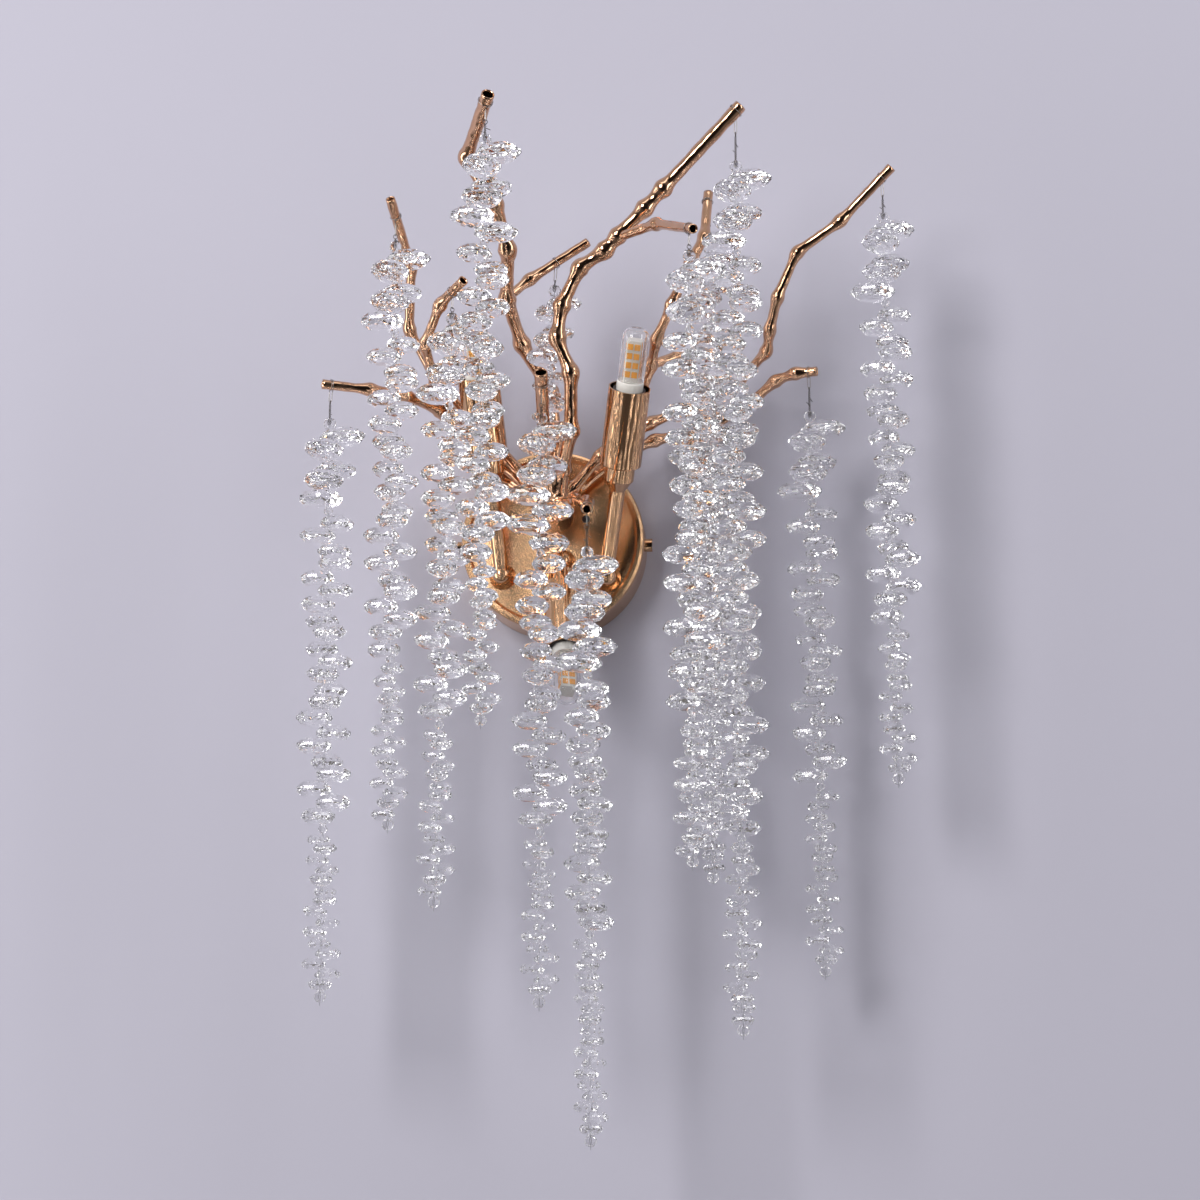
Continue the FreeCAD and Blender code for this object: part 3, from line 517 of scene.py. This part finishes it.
print("feet brazed into the cluster:", len(feet))

# %% [markdown]
# ## The small lamps
# Each lamp is a pin-base bulb: a white foot that sits in the socket, a square white
# core with eight yellow chips on each side, and a clear cover with a domed top. The
# joint that lets the lamp be pulled out gives its axis, and the engineering pieces
# give its seat, so the lamp is built upright once and then laid onto that axis.

# %% Sizes of a lamp
LAMP_RADIUS = 8.0 * MM
FOOT_HEIGHT = 13.4 * MM
LAMP_TOP = 45.0 * MM
COVER_WALL = 0.9 * MM
COVER_GAP = 0.1 * MM  # between the foot and the cover that stands on it
DOME_HEIGHT = 5.5 * MM
DOME_FULLNESS = 0.55  # below 1 the dome stays wide for longer, like the real cover
FOOT_EDGE = 0.8 * MM
FOOT_TAPER = 0.97  # the foot's lower edge draws in to this share of its radius
LATHE_STEPS = 48
CORE_HALF = 4.3 * MM
CORE_TOP = 38.5 * MM
PIN_LENGTH = 9.0 * MM
PIN_RADIUS = 0.9 * MM
PIN_SPACING = 9.0 * MM
SHARP_EDGE = math.radians(40)  # edges steeper than this stay crisp
CHIP_SIZE = (3.2 * MM, 0.7 * MM, 3.6 * MM)
CHIP_ACROSS = 4.0 * MM
CHIP_ROWS = [18.0 * MM + row * 5.6 * MM for row in range(4)]
print("lamp height above its seat in mm:", round(LAMP_TOP / MM, 1))

# %% [markdown]
# Foot and cover are round, so their outlines are spun round an axis. The cover's outline
# runs up the outside and back down the inside, which gives the glass its thickness.
# Core and chips are plain blocks and the pins are cylinders.

# %% Helpers for round and square parts


def lathe(profile):
    """A closed solid of revolution round Z from (radius, height) points."""
    maker = bmesh.new()
    points = [maker.verts.new((radius, 0.0, height)) for radius, height in profile]
    edges = [maker.edges.new(pair) for pair in zip(points, points[1:])]
    bmesh.ops.spin(
        maker, geom=points + edges, axis=(0, 0, 1), cent=(0, 0, 0), steps=LATHE_STEPS,
        angle=math.tau, use_merge=True,
    )
    bmesh.ops.remove_doubles(maker, verts=maker.verts, dist=1e-6)
    bmesh.ops.recalc_face_normals(maker, faces=maker.faces)
    return maker


def add_block(maker, centre, size):
    """A box with its middle at a point."""
    place = Matrix.Translation(centre) @ Matrix.Diagonal((*size, 1))
    bmesh.ops.create_cube(maker, size=1.0, matrix=place)


print("steps round a lamp:", LATHE_STEPS)

# %% [markdown]
# Everything stands on the seat at height 0, with the pins below it.

# %% The pieces of one upright lamp


def lamp_makers():
    """The pieces of one upright lamp, with their finishes."""
    foot = lathe([
        (0, 0), (LAMP_RADIUS * FOOT_TAPER, 0), (LAMP_RADIUS, FOOT_EDGE / 2),
        (LAMP_RADIUS, FOOT_HEIGHT - FOOT_EDGE), (LAMP_RADIUS - FOOT_EDGE, FOOT_HEIGHT), (0, FOOT_HEIGHT),
    ])
    dome = [
        (LAMP_RADIUS * math.cos(a) ** DOME_FULLNESS, LAMP_TOP - DOME_HEIGHT * (1 - math.sin(a)))
        for a in (k * math.pi / 16 for k in range(8))
    ]
    inner = [(r - COVER_WALL, z - COVER_WALL) for r, z in reversed(dome) if r > COVER_WALL * 1.5]
    rim = FOOT_HEIGHT + COVER_GAP
    cover = lathe([
        (LAMP_RADIUS - COVER_WALL, rim), (LAMP_RADIUS - COVER_GAP, rim), *dome, (0, LAMP_TOP),
        (0, LAMP_TOP - COVER_WALL), *inner, (LAMP_RADIUS - COVER_WALL, rim),
    ])
    core = bmesh.new()
    middle = (FOOT_HEIGHT + CORE_TOP) / 2
    add_block(core, (0, 0, middle), (2 * CORE_HALF, 2 * CORE_HALF, CORE_TOP - FOOT_HEIGHT))
    chips = bmesh.new()
    for quarter in range(4):
        turn = Matrix.Rotation(quarter * math.pi / 2, 4, "Z")
        before = len(chips.verts)
        for height in CHIP_ROWS:
            for across in (-CHIP_ACROSS / 2, CHIP_ACROSS / 2):
                add_block(chips, (across, -CORE_HALF, height), CHIP_SIZE)
        chips.verts.ensure_lookup_table()
        bmesh.ops.transform(chips, matrix=turn, verts=chips.verts[before:])
    pins = bmesh.new()
    for side in (-1, 1):
        bmesh.ops.create_cone(
            pins, cap_ends=True, segments=16, radius1=PIN_RADIUS, radius2=PIN_RADIUS, depth=PIN_LENGTH,
            matrix=Matrix.Translation((side * PIN_SPACING / 2, 0, -PIN_LENGTH / 2)),
        )
    return [("foot", foot, ceramic, True), ("core", core, board_white, False),
            ("chips", chips, phosphor, False), ("pins", pins, zinc_steel, True),
            ("cover_glass", cover, cover_glass, True)]


print("light chips on a lamp:", 4 * 2 * len(CHIP_ROWS))

# %% [markdown]
# The middle of the engineering cover gives the line of the axis, and the ends of the
# pins give the height: the foot stands one pin length above them.

# %% Lay each lamp onto its axis
for lamp_name in ("right", "left", "lower"):
    body = "bulb_" + lamp_name
    axis = Vector(joint_of[body]["axis"]).normalized()
    base_points = [vertex.co for vertex in nodes[body + "_base"].data.vertices]
    cover_points = [vertex.co for vertex in nodes[body + "_cover"].data.vertices]
    pin_ends = min(spot.dot(axis) for spot in base_points)
    middle = sum((spot - axis * spot.dot(axis) for spot in cover_points), Vector()) / len(cover_points)
    seat = middle + axis * (pin_ends + PIN_LENGTH)
    lean = Vector((0, 0, 1)).rotation_difference(axis)
    place = Matrix.Translation(seat) @ lean.to_matrix().to_4x4()
    made = {}
    for part_name, maker, material, smooth in lamp_makers():
        bmesh.ops.transform(maker, matrix=place, verts=maker.verts)
        made[part_name] = piece_from(maker, body + "_" + part_name, material, body, smooth)
        if smooth:
            sharpen = made[part_name].modifiers.new("edges", "EDGE_SPLIT")
            sharpen.split_angle = SHARP_EDGE
    for part_name in ("foot", "core", "chips", "pins"):
        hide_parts(body + "_base")
    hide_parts(body + "_cover")
print("lamps built: 3")

# %% [markdown]
# ## Cut stones
# The real crystals are flat marquise stones: a pointed oval outline, a flat table on
# each side, and a belt of small triangular facets between table and edge. One stone of
# each size is made as the hull of three staggered rings of points, which is just how a
# cutter lays facets: every new ring sits half a step round from the last. A few dozen
# faces each are enough, because there are hundreds. The engineering model already says
# where each stone hangs and how it is turned, so each cut stone takes the place of one
# loose piece of the strand's mesh, lined up with its longest and its thinnest way.

# %% Stone shapes
MARQUISE = [(0.5, 0.0), (0.39, 0.31), (0.15, 0.49), (-0.15, 0.49), (-0.39, 0.31)]
MARQUISE += [(-x, -y) for x, y in MARQUISE]
OCTAGON = [(math.cos(k * math.pi / 4) / 2, math.sin(k * math.pi / 4) / 2) for k in range(8)]
# each ring: its height, its share of the outline, and whether it is half a step round
STONE_RINGS = [(0.50, 0.50, False), (0.36, 0.83, True), (0.09, 1.0, False)]
BEAD_RINGS = [(0.5, 0.36, False), (0.42, 0.76, True), (0.14, 1.0, False)]
SAME_FACET = math.radians(0.5)  # faces this close in direction become one facet


def between(outline):
    """The points half a step round from an outline's own."""
    return [
        ((x0 + x1) / 2, (y0 + y1) / 2)
        for (x0, y0), (x1, y1) in zip(outline, outline[1:] + outline[:1])
    ]


def unit_mesh(name, outline, rings):
    """A unit-size faceted solid, as the hull of mirrored rings of points, ready to copy."""
    maker = bmesh.new()
    for side in (1, -1):
        for height, share, staggered in rings:
            for x, y in between(outline) if staggered else outline:
                maker.verts.new((x * share, y * share, side * height))
    hull = bmesh.ops.convex_hull(maker, input=maker.verts)
    spare = hull["geom_interior"] + hull["geom_unused"]
    loose = list({vertex for vertex in spare if isinstance(vertex, bmesh.types.BMVert)})
    bmesh.ops.delete(maker, geom=loose, context="VERTS")
    bmesh.ops.dissolve_limit(maker, angle_limit=SAME_FACET, verts=maker.verts, edges=maker.edges)
    mesh = bpy.data.meshes.new(name)
    maker.to_mesh(mesh)
    maker.free()
    return mesh


stone_mesh = unit_mesh("cut_stone", MARQUISE, STONE_RINGS)
bead_mesh = unit_mesh("cut_bead", OCTAGON, BEAD_RINGS)
print("faces per stone:", len(stone_mesh.polygons), "per bead:", len(bead_mesh.polygons))

# %% [markdown]
# The strands' meshes come as loose triangles, so points that share a place and points
# that share an edge are first gathered into groups: one group is one stone or bead.
# The hinge point at the top and the lowest stone then give the line of the wire.

# %% Take the engineering strands apart into stones


def islands(mesh):
    """The loose pieces of a mesh, each as a list of points."""
    group = list(range(len(mesh.vertices)))

    def root(k):
        while group[k] != k:
            group[k] = group[group[k]]
            k = group[k]
        return k

    places = {}
    for vertex in mesh.vertices:
        key = tuple(round(c, 6) for c in vertex.co)
        group[root(vertex.index)] = root(places.setdefault(key, vertex.index))
    for edge in mesh.edges:
        group[root(edge.vertices[0])] = root(edge.vertices[1])
    pieces = {}
    for vertex in mesh.vertices:
        pieces.setdefault(root(vertex.index), []).append(vertex.co.copy())
    return list(pieces.values())


def strand_line(groups, pivot):
    """The strand's highest and lowest stone and its direction down from the hinge point."""
    middles = sorted((sum(g, Vector()) / len(g) for g in groups), key=lambda p: -p.z)
    return middles[0], middles[-1], (middles[-1] - pivot).normalized()


strands = sorted(name.replace("_crystals", "") for name in nodes if name.endswith("_crystals"))
groups_of = {body: islands(nodes[body + "_crystals"].data) for body in strands}
print("strands:", len(strands), "stones and beads:", sum(len(g) for g in groups_of.values()))

# %% [markdown]
# Three sizes of stone hang on a strand. Pressed glass is never quite alike, so each
# copy is a hair wider or narrower than the last; the change repeats in a fixed
# rhythm, which gives the same result every time the lesson runs.

# %% Sizes of stones and beads
STONE_SIZES = [  # length, width and thickness in millimetres
    (26.9, 22.0, 10.2),
    (20.9, 18.4, 9.1),
    (14.4, 12.8, 6.5),
]
BEAD_LIMIT = 9.0  # loose pieces smaller than this are round beads
BOX_MARGIN = 0.4 * MM  # the least distance kept to the engineering box
SLIDE_SHARE = 0.10  # a stone hangs this share of its length further out on the wire
CENTRED_STRANDS = ("strand_07",)  # another strand swings close past these, so they stay slim
TIP_REACH = 1.1 * MM  # the corners of a stone's tip lie within this distance
WOBBLE = 0.03  # the share by which a stone's width changes from copy to copy
WOBBLE_STEP = 2.3  # radians of the rhythm per copy
THICKNESS_TRIM = 0.99  # keeps the thickest copies off their neighbours
BEAD_HEIGHT = 0.92  # a bead is a little lower than it is wide
print("stone sizes:", len(STONE_SIZES))

# %% [markdown]
# The two tips of an engineering stone give its middle and its long way, and the
# strand's line gives the way its flat side faces. Real stones are drilled near one
# end, so each stone slides a little outwards from the wire, as far as the engineering
# box has room.

# %% Find a stone's place from its engineering points


def tip_of(points, start):
    """The middle of the tip that lies farthest from a point."""
    far = max(points, key=lambda p: (p - start).length_squared)
    near = [p for p in points if (p - far).length < TIP_REACH]
    return sum(near, Vector()) / len(near)


def room_inside(tip, direction):
    """How far a point can move along a direction before it leaves the engineering box."""
    rooms = [
        ((cad_box[1] if direction[axis] > 0 else cad_box[0])[axis] - tip[axis]) / direction[axis]
        for axis in range(3) if abs(direction[axis]) > 1e-6
    ]
    return max(0.0, min(rooms) - BOX_MARGIN)


def stone_place(points, up, pivot, number, share):
    """Where one stone goes, how it is turned, and how large it is."""
    middle = sum(points, Vector()) / len(points)
    first = tip_of(points, middle)
    second = tip_of(points, first)
    centre = (first + second) / 2
    long_way = (second - first).normalized()
    length = (second - first).length / MM
    wide_way = up.cross(long_way).normalized()
    thin_way = long_way.cross(wide_way)
    sizes = min(STONE_SIZES, key=lambda size: abs(size[0] - length))
    off_wire = centre - pivot
    outwards = (off_wire - up * off_wire.dot(up)).normalized()
    reach = sizes[0] * MM
    slide = min(share * reach, room_inside(centre + outwards * reach / 2, outwards))
    centre += outwards * slide
    wobble = 1 + WOBBLE * math.sin(WOBBLE_STEP * number)
    sizes = (sizes[0], sizes[1] * wobble, sizes[2] * (2 - wobble) * THICKNESS_TRIM)
    turn = Matrix((long_way, wide_way, thin_way)).transposed().to_4x4()
    scale = Matrix.Diagonal((sizes[0] * MM, sizes[1] * MM, sizes[2] * MM, 1))
    return Matrix.Translation(centre) @ turn @ scale


def bead_place(points, up):
    """Where a round bead goes and how large it is."""
    middle = sum(points, Vector()) / len(points)
    across = max((p - middle).length for p in points) * 2
    turn = up.to_track_quat("Z", "Y").to_matrix().to_4x4()
    return Matrix.Translation(middle) @ turn @ Matrix.Diagonal((across, across, across * BEAD_HEIGHT, 1))


print("least distance kept to the box in mm:", round(BOX_MARGIN / MM, 1))

# %% [markdown]
# One mesh per strand holds copies of the stone and the bead, laid at these places.

# %% Hang a cut stone wherever the engineering model hangs one


def add_copy(maker, mesh, place):
    """Adds a copy of a mesh to a bmesh at a place."""
    start = len(maker.verts)
    maker.from_mesh(mesh)
    maker.verts.ensure_lookup_table()
    bmesh.ops.transform(maker, matrix=place, verts=maker.verts[start:])


for body, groups in groups_of.items():
    pivot = Vector(joint_of[body]["pos_m"])
    up = -strand_line(groups, pivot)[2]
    share = 0.0 if body in CENTRED_STRANDS else SLIDE_SHARE
    maker = bmesh.new()
    for number, points in enumerate(groups):
        spread = max((p - points[0]).length for p in points) / MM
        if spread < BEAD_LIMIT:
            add_copy(maker, bead_mesh, bead_place(points, up))
        else:
            add_copy(maker, stone_mesh, stone_place(points, up, pivot, number, share))
    piece = piece_from(maker, body + "_stones", crystal_glass, body, smooth=False)
    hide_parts(body + "_crystals")
print("strands hung:", len(groups_of))

# %% [markdown]
# ## Twisted hanging wire
# Thin steel wire holds each strand. One piece is wound round the branch near its end
# and hangs down in a narrow loop. The other begins as an eye that hooks into this
# loop, is twisted on itself down to the first bead, and is snipped off so that small
# barbs stick out. A finer wire runs straight on through the stones. The winding and its
# loop ride on the fixture, and everything from the eye down rides on the strand. Eye
# and loop never touch, so the strand can swing to both its limits.

# %% Sizes of the wires
WIRE_SIDES = 6
WIRE_RADIUS = 0.22 * MM
CORE_WIRE_RADIUS = 0.15 * MM
WIND_TURNS = 1.6
WIND_PITCH = 0.9 * MM
TWIST_RADIUS = 0.5 * MM
TWIST_PITCH = 2.6 * MM
EYE_SPAN = 2.6 * MM  # the eye passes through the hinge point
HOOK_RADIUS = 0.75 * MM  # the loop above hooks through the eye and stays clear of it
HELIX_STEPS = 14  # points in one turn
BARB_LENGTH = 3.2 * MM
BARB_SAG = 0.3 * MM
# each barb: how far down the twist it starts, and its lean sideways, along the branch, down
BARBS = [(0.25, (0.9, 0.4, 0.5)), (0.55, (-0.6, -0.4, -0.5))]
WIRE_TAIL = 5 * MM  # the wire's cut end below the middle of the last stone
TIE_REACH = 14 * MM  # a tie's winding is within this distance of its hinge point
print("wire thickness in mm:", round(2 * WIRE_RADIUS / MM, 2), round(2 * CORE_WIRE_RADIUS / MM, 2))

# %% [markdown]
# All wire is swept along a line of points, just as the branches are. Turns are laid
# out as a helix, and each tie looks for the branch that runs right above its hinge.

# %% Helpers that draw wire


def closed_wire(line, radius):
    """A thin wire along a line, with closed ends."""
    wire = swept_tube(line, lambda k: radius, WIRE_SIDES)
    bmesh.ops.holes_fill(wire, edges=[edge for edge in wire.edges if edge.is_boundary])
    bmesh.ops.recalc_face_normals(wire, faces=wire.faces)
    return wire


def wire_run(maker, line):
    """A run of the tying wire along a line, added to a bmesh."""
    add_maker(maker, closed_wire(line, WIRE_RADIUS))


def helix(start, end, radius, turns, phase, side):
    """Points that wind round the line from start to end."""
    along = (end - start).normalized()
    across = (side - along * side.dot(along)).normalized()
    other = along.cross(across)
    count = max(8, int(turns * HELIX_STEPS))
    points = []
    for k in range(count + 1):
        angle = phase + math.tau * turns * k / count
        round_axis = across * math.cos(angle) + other * math.sin(angle)
        points.append(start.lerp(end, k / count) + round_axis * radius)
    return points


def branch_above(spot):
    """The branch point right above a spot, the branch's direction there and its radius."""
    best = None
    for name, route in BRANCH_ROUTES.items():
        line = smooth_line(route)
        for k in range(1, len(line)):
            if (line[k] - spot).length > TIE_REACH:
                continue
            gap = (line[k] - spot).xy.length
            if best is None or gap < best[0]:
                best = (gap, line[k], (line[k] - line[k - 1]).normalized(), tube_radius(name))
    return best[1:]


print("branch point above strand_01:", branch_above(Vector(joint_of["strand_01"]["pos_m"]))[0])

# %% [markdown]
# The winding is a short helix about the branch's own direction. Both legs of the loop
# start under it and meet in a half circle round the hinge point. The eye is a ring that
# stands square to the loop, and two helices half a turn apart make the twist.

# %% Winding, loop, eye and twist


def wound_tie(maker, pivot, spot, along, radius, across, down):
    """The winding round the branch and the narrow loop that hangs down from it."""
    wound = radius * (1 + WANDER) + WIRE_RADIUS
    half_wind = along * WIND_PITCH * WIND_TURNS / 2
    wire_run(maker, helix(spot - half_wind, spot + half_wind, wound, WIND_TURNS, 0.0, pivot - spot))
    for sign in (-1, 1):
        under = spot + (pivot - spot).normalized() * wound + along * sign * WIND_PITCH
        leg = [under.lerp(pivot + across * sign * HOOK_RADIUS, k / 4) for k in range(4)]
        hook = [
            pivot + (across * sign * math.cos(a) + down * math.sin(a)) * HOOK_RADIUS
            for a in (k * math.pi / 8 for k in range(5))
        ]
        wire_run(maker, leg + hook)


def eye_and_twist(pivot, top, along, side, down):
    """The eye at the hinge point, the twisted wire below it and its snipped barbs."""
    maker = bmesh.new()
    wire_run(maker, [
        pivot + (side * math.cos(a) + down * (1 - math.sin(a))) * EYE_SPAN / 2
        for a in (k * math.tau / 16 for k in range(17))
    ])
    start = pivot + down * EYE_SPAN
    turns = max(1.0, (top - start).length / TWIST_PITCH)
    for phase in (0.0, math.pi):
        wire_run(maker, helix(start, top, TWIST_RADIUS, turns, phase, side))
    for share, (sideways, lengthways, downwards) in BARBS:
        root = start.lerp(top, share)
        away = (side * sideways + along * lengthways + down * downwards).normalized() * BARB_LENGTH
        wire_run(maker, [root.lerp(root + away, t) + down * BARB_SAG * t * t for t in (0, 1 / 3, 2 / 3, 1)])
    return maker


# %% [markdown]
# Each strand's own hinge point, stones and branch say where all of this goes. The core
# wire runs from the highest stone or bead to a little below the lowest.

# %% Wire every strand
upper_wire = bmesh.new()
for body in strands:
    pivot = Vector(joint_of[body]["pos_m"])
    top, low, down = strand_line(groups_of[body], pivot)
    spot, along, radius = branch_above(pivot)
    side = along.cross(down).normalized()
    wound_tie(upper_wire, pivot, spot, along, radius, down.cross(side), down)
    core_wire = closed_wire([top.lerp(low + down * WIRE_TAIL, k / 4) for k in range(5)], CORE_WIRE_RADIUS)
    twist = eye_and_twist(pivot, top, along, side, down)
    lower_wires = [(core_wire, "_core_wire", bright_wire), (twist, "_twisted_wire", dark_wire)]
    for maker, ending, finish in lower_wires:
        piece = piece_from(maker, body + ending, finish, body)
        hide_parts(body + "_wire")
upper_piece = piece_from(upper_wire, "wound_ties", tie_wire, "fixture")
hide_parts("hanging_ties")
print("strands wired:", len(strands))

# %% [markdown]
# ## Backdrop
# A plain pale backdrop stands right behind the pan, takes the sconce's shadow and shows
# through the stones. It is a single matt face, and not part of the sconce.

# %% Backdrop
BACKDROP_HALF = 1.6
BACKDROP_DROP = 1.1
BACKDROP_GAP = 0.0006  # keeps the backdrop just behind the pan's back
left_low = (-BACKDROP_HALF, BACKDROP_GAP, -BACKDROP_DROP)
right_low = (BACKDROP_HALF, BACKDROP_GAP, -BACKDROP_DROP)
right_high = (BACKDROP_HALF, BACKDROP_GAP, BACKDROP_HALF)
left_high = (-BACKDROP_HALF, BACKDROP_GAP, BACKDROP_HALF)
maker = bmesh.new()
maker.faces.new([maker.verts.new(corner) for corner in (left_low, right_low, right_high, left_high)])
mesh = bpy.data.meshes.new("backdrop")
maker.to_mesh(mesh)
maker.free()
backdrop = bpy.data.objects.new("backdrop", mesh)
bpy.context.scene.collection.objects.link(backdrop)

# seen from behind, the backdrop lets the view through, so the back can be looked at
material, tree, output = new_material("backdrop_paint")
paint = add_node(
    tree, "ShaderNodeBsdfPrincipled",
    inputs={"Base Color": linear("#B9B7C5"), "Roughness": 0.8, "Specular IOR Level": 0.2},
)
facing = add_node(tree, "ShaderNodeNewGeometry")
open_back = add_node(tree, "ShaderNodeBsdfTransparent")
one_way = add_node(
    tree, "ShaderNodeMixShader",
    links={0: facing.outputs["Backfacing"], 1: paint.outputs["BSDF"], 2: open_back.outputs["BSDF"]},
)
tree.links.new(one_way.outputs["Shader"], output.inputs["Surface"])
mesh.materials.append(material)
print("backdrop width in metres:", 2 * BACKDROP_HALF)

# %% [markdown]
# ## Light
# Polished metal and glass only look right when they have something to reflect: a large
# soft lamp at the upper left gives the main light and a long highlight on each tube,
# and two strips at the sides and one above fill in.

# %% Soft lamps


def soft_lamp(name, place, aim, width, height, power, colour):
    """A rectangular soft lamp that looks at a point."""
    light = bpy.data.lights.new(name, "AREA")
    light.shape = "RECTANGLE"
    light.size, light.size_y = width, height
    light.energy = power
    light.color = linear(colour)[:3]
    lamp = bpy.data.objects.new(name, light)
    lamp.location = place
    lamp.rotation_euler = (Vector(aim) - Vector(place)).to_track_quat("-Z", "Y").to_euler()
    bpy.context.scene.collection.objects.link(lamp)


soft_lamp("key_lamp", (-1.6, -3.35, 1.15), (0, -0.08, -0.1), 1.4, 1.75, 115, "#FFFDFB")
soft_lamp("right_lamp", (1.35, -0.9, 0.35), (0, -0.08, 0), 0.35, 1.5, 7.5, "#FFFFFF")
soft_lamp("left_strip", (-1.2, -0.45, -0.1), (0, -0.08, 0), 0.35, 1.5, 6.5, "#FFFFFF")
soft_lamp("top_lamp", (0.1, -1.0, 1.4), (0, -0.08, 0), 1.2, 0.4, 3.0, "#FFFFFF")
print("lamps set:", len(bpy.data.lights))

# %% [markdown]
# The room behind the viewer stays dark, so that tubes show dark bands, and it gets
# paler upwards. Light that has gone through a stone meets a brighter room, which
# stands for the white cards that a photographer sets round glass.

# %% The room
BEHIND_VIEWER = -0.86  # a direction's Y value, up to which the room is dark
BESIDE_VIEWER = -0.46  # and from which it is pale
DARK_STRENGTH = 0.03
PALE_STRENGTH = 0.78
CARD_STRENGTH = 1.15  # the room that light meets after it has gone through a stone
world = bpy.data.worlds.new("room")
bpy.context.scene.world = world
world.use_nodes = True
tree = world.node_tree
tree.nodes.clear()
direction = add_node(tree, "ShaderNodeTexCoord")
split = add_node(tree, "ShaderNodeSeparateXYZ", links={"Vector": direction.outputs["Generated"]})
height = add_node(
    tree, "ShaderNodeMapRange",
    inputs={"From Min": -1.0, "From Max": 1.0, "To Min": 0.0, "To Max": 1.0},
    links={"Value": split.outputs["Z"]},
)
shade = add_node(tree, "ShaderNodeValToRGB", links={"Fac": height.outputs["Result"]})
shade.color_ramp.elements[0].color = linear("#625E5B")
shade.color_ramp.elements[1].color = linear("#DCDCE2")
front = add_node(
    tree, "ShaderNodeMapRange",
    inputs={"From Min": BEHIND_VIEWER, "From Max": BESIDE_VIEWER,
            "To Min": DARK_STRENGTH, "To Max": PALE_STRENGTH},
    links={"Value": split.outputs["Y"]},
)
path = add_node(tree, "ShaderNodeLightPath")
cards = add_node(
    tree, "ShaderNodeMath", {"operation": "MULTIPLY"}, {1: CARD_STRENGTH},
    {0: path.outputs["Is Transmission Ray"]},
)
strength = add_node(
    tree, "ShaderNodeMath", {"operation": "MAXIMUM"},
    links={0: front.outputs["Result"], 1: cards.outputs["Value"]},
)
sky = add_node(
    tree, "ShaderNodeBackground",
    links={"Color": shade.outputs["Color"], "Strength": strength.outputs["Value"]},
)
add_node(tree, "ShaderNodeOutputWorld", links={"Surface": sky.outputs["Background"]})
print("room made:", world.name)

# %% [markdown]
# ## Camera
# The photograph was taken from a little below the sconce and slightly to its right,
# about two metres away, with a lens of about 105 mm. With the canopy's outline and the
# strands' shadows as guides, those figures put every branch on its place in the frame.

# %% Camera at the photograph's angle
camera_data = bpy.data.cameras.new("photo_camera")
camera_data.sensor_width = 36.0
camera_data.lens = 105.0
camera_data.clip_end = 20.0
camera = bpy.data.objects.new("photo_camera", camera_data)
camera.location = (0.17797, -2.06421, -0.49024)
camera.rotation_euler = (math.radians(90 + 12.519), 0.0, math.radians(4.2005))
bpy.context.scene.collection.objects.link(camera)
bpy.context.scene.camera = camera
bpy.context.scene.view_settings.view_transform = "Standard"
# light crosses many facets before it leaves a strand
cycles = bpy.context.scene.cycles
cycles.max_bounces = 28
cycles.transmission_bounces = 28
cycles.glossy_bounces = 10
print("camera at", tuple(camera.location))
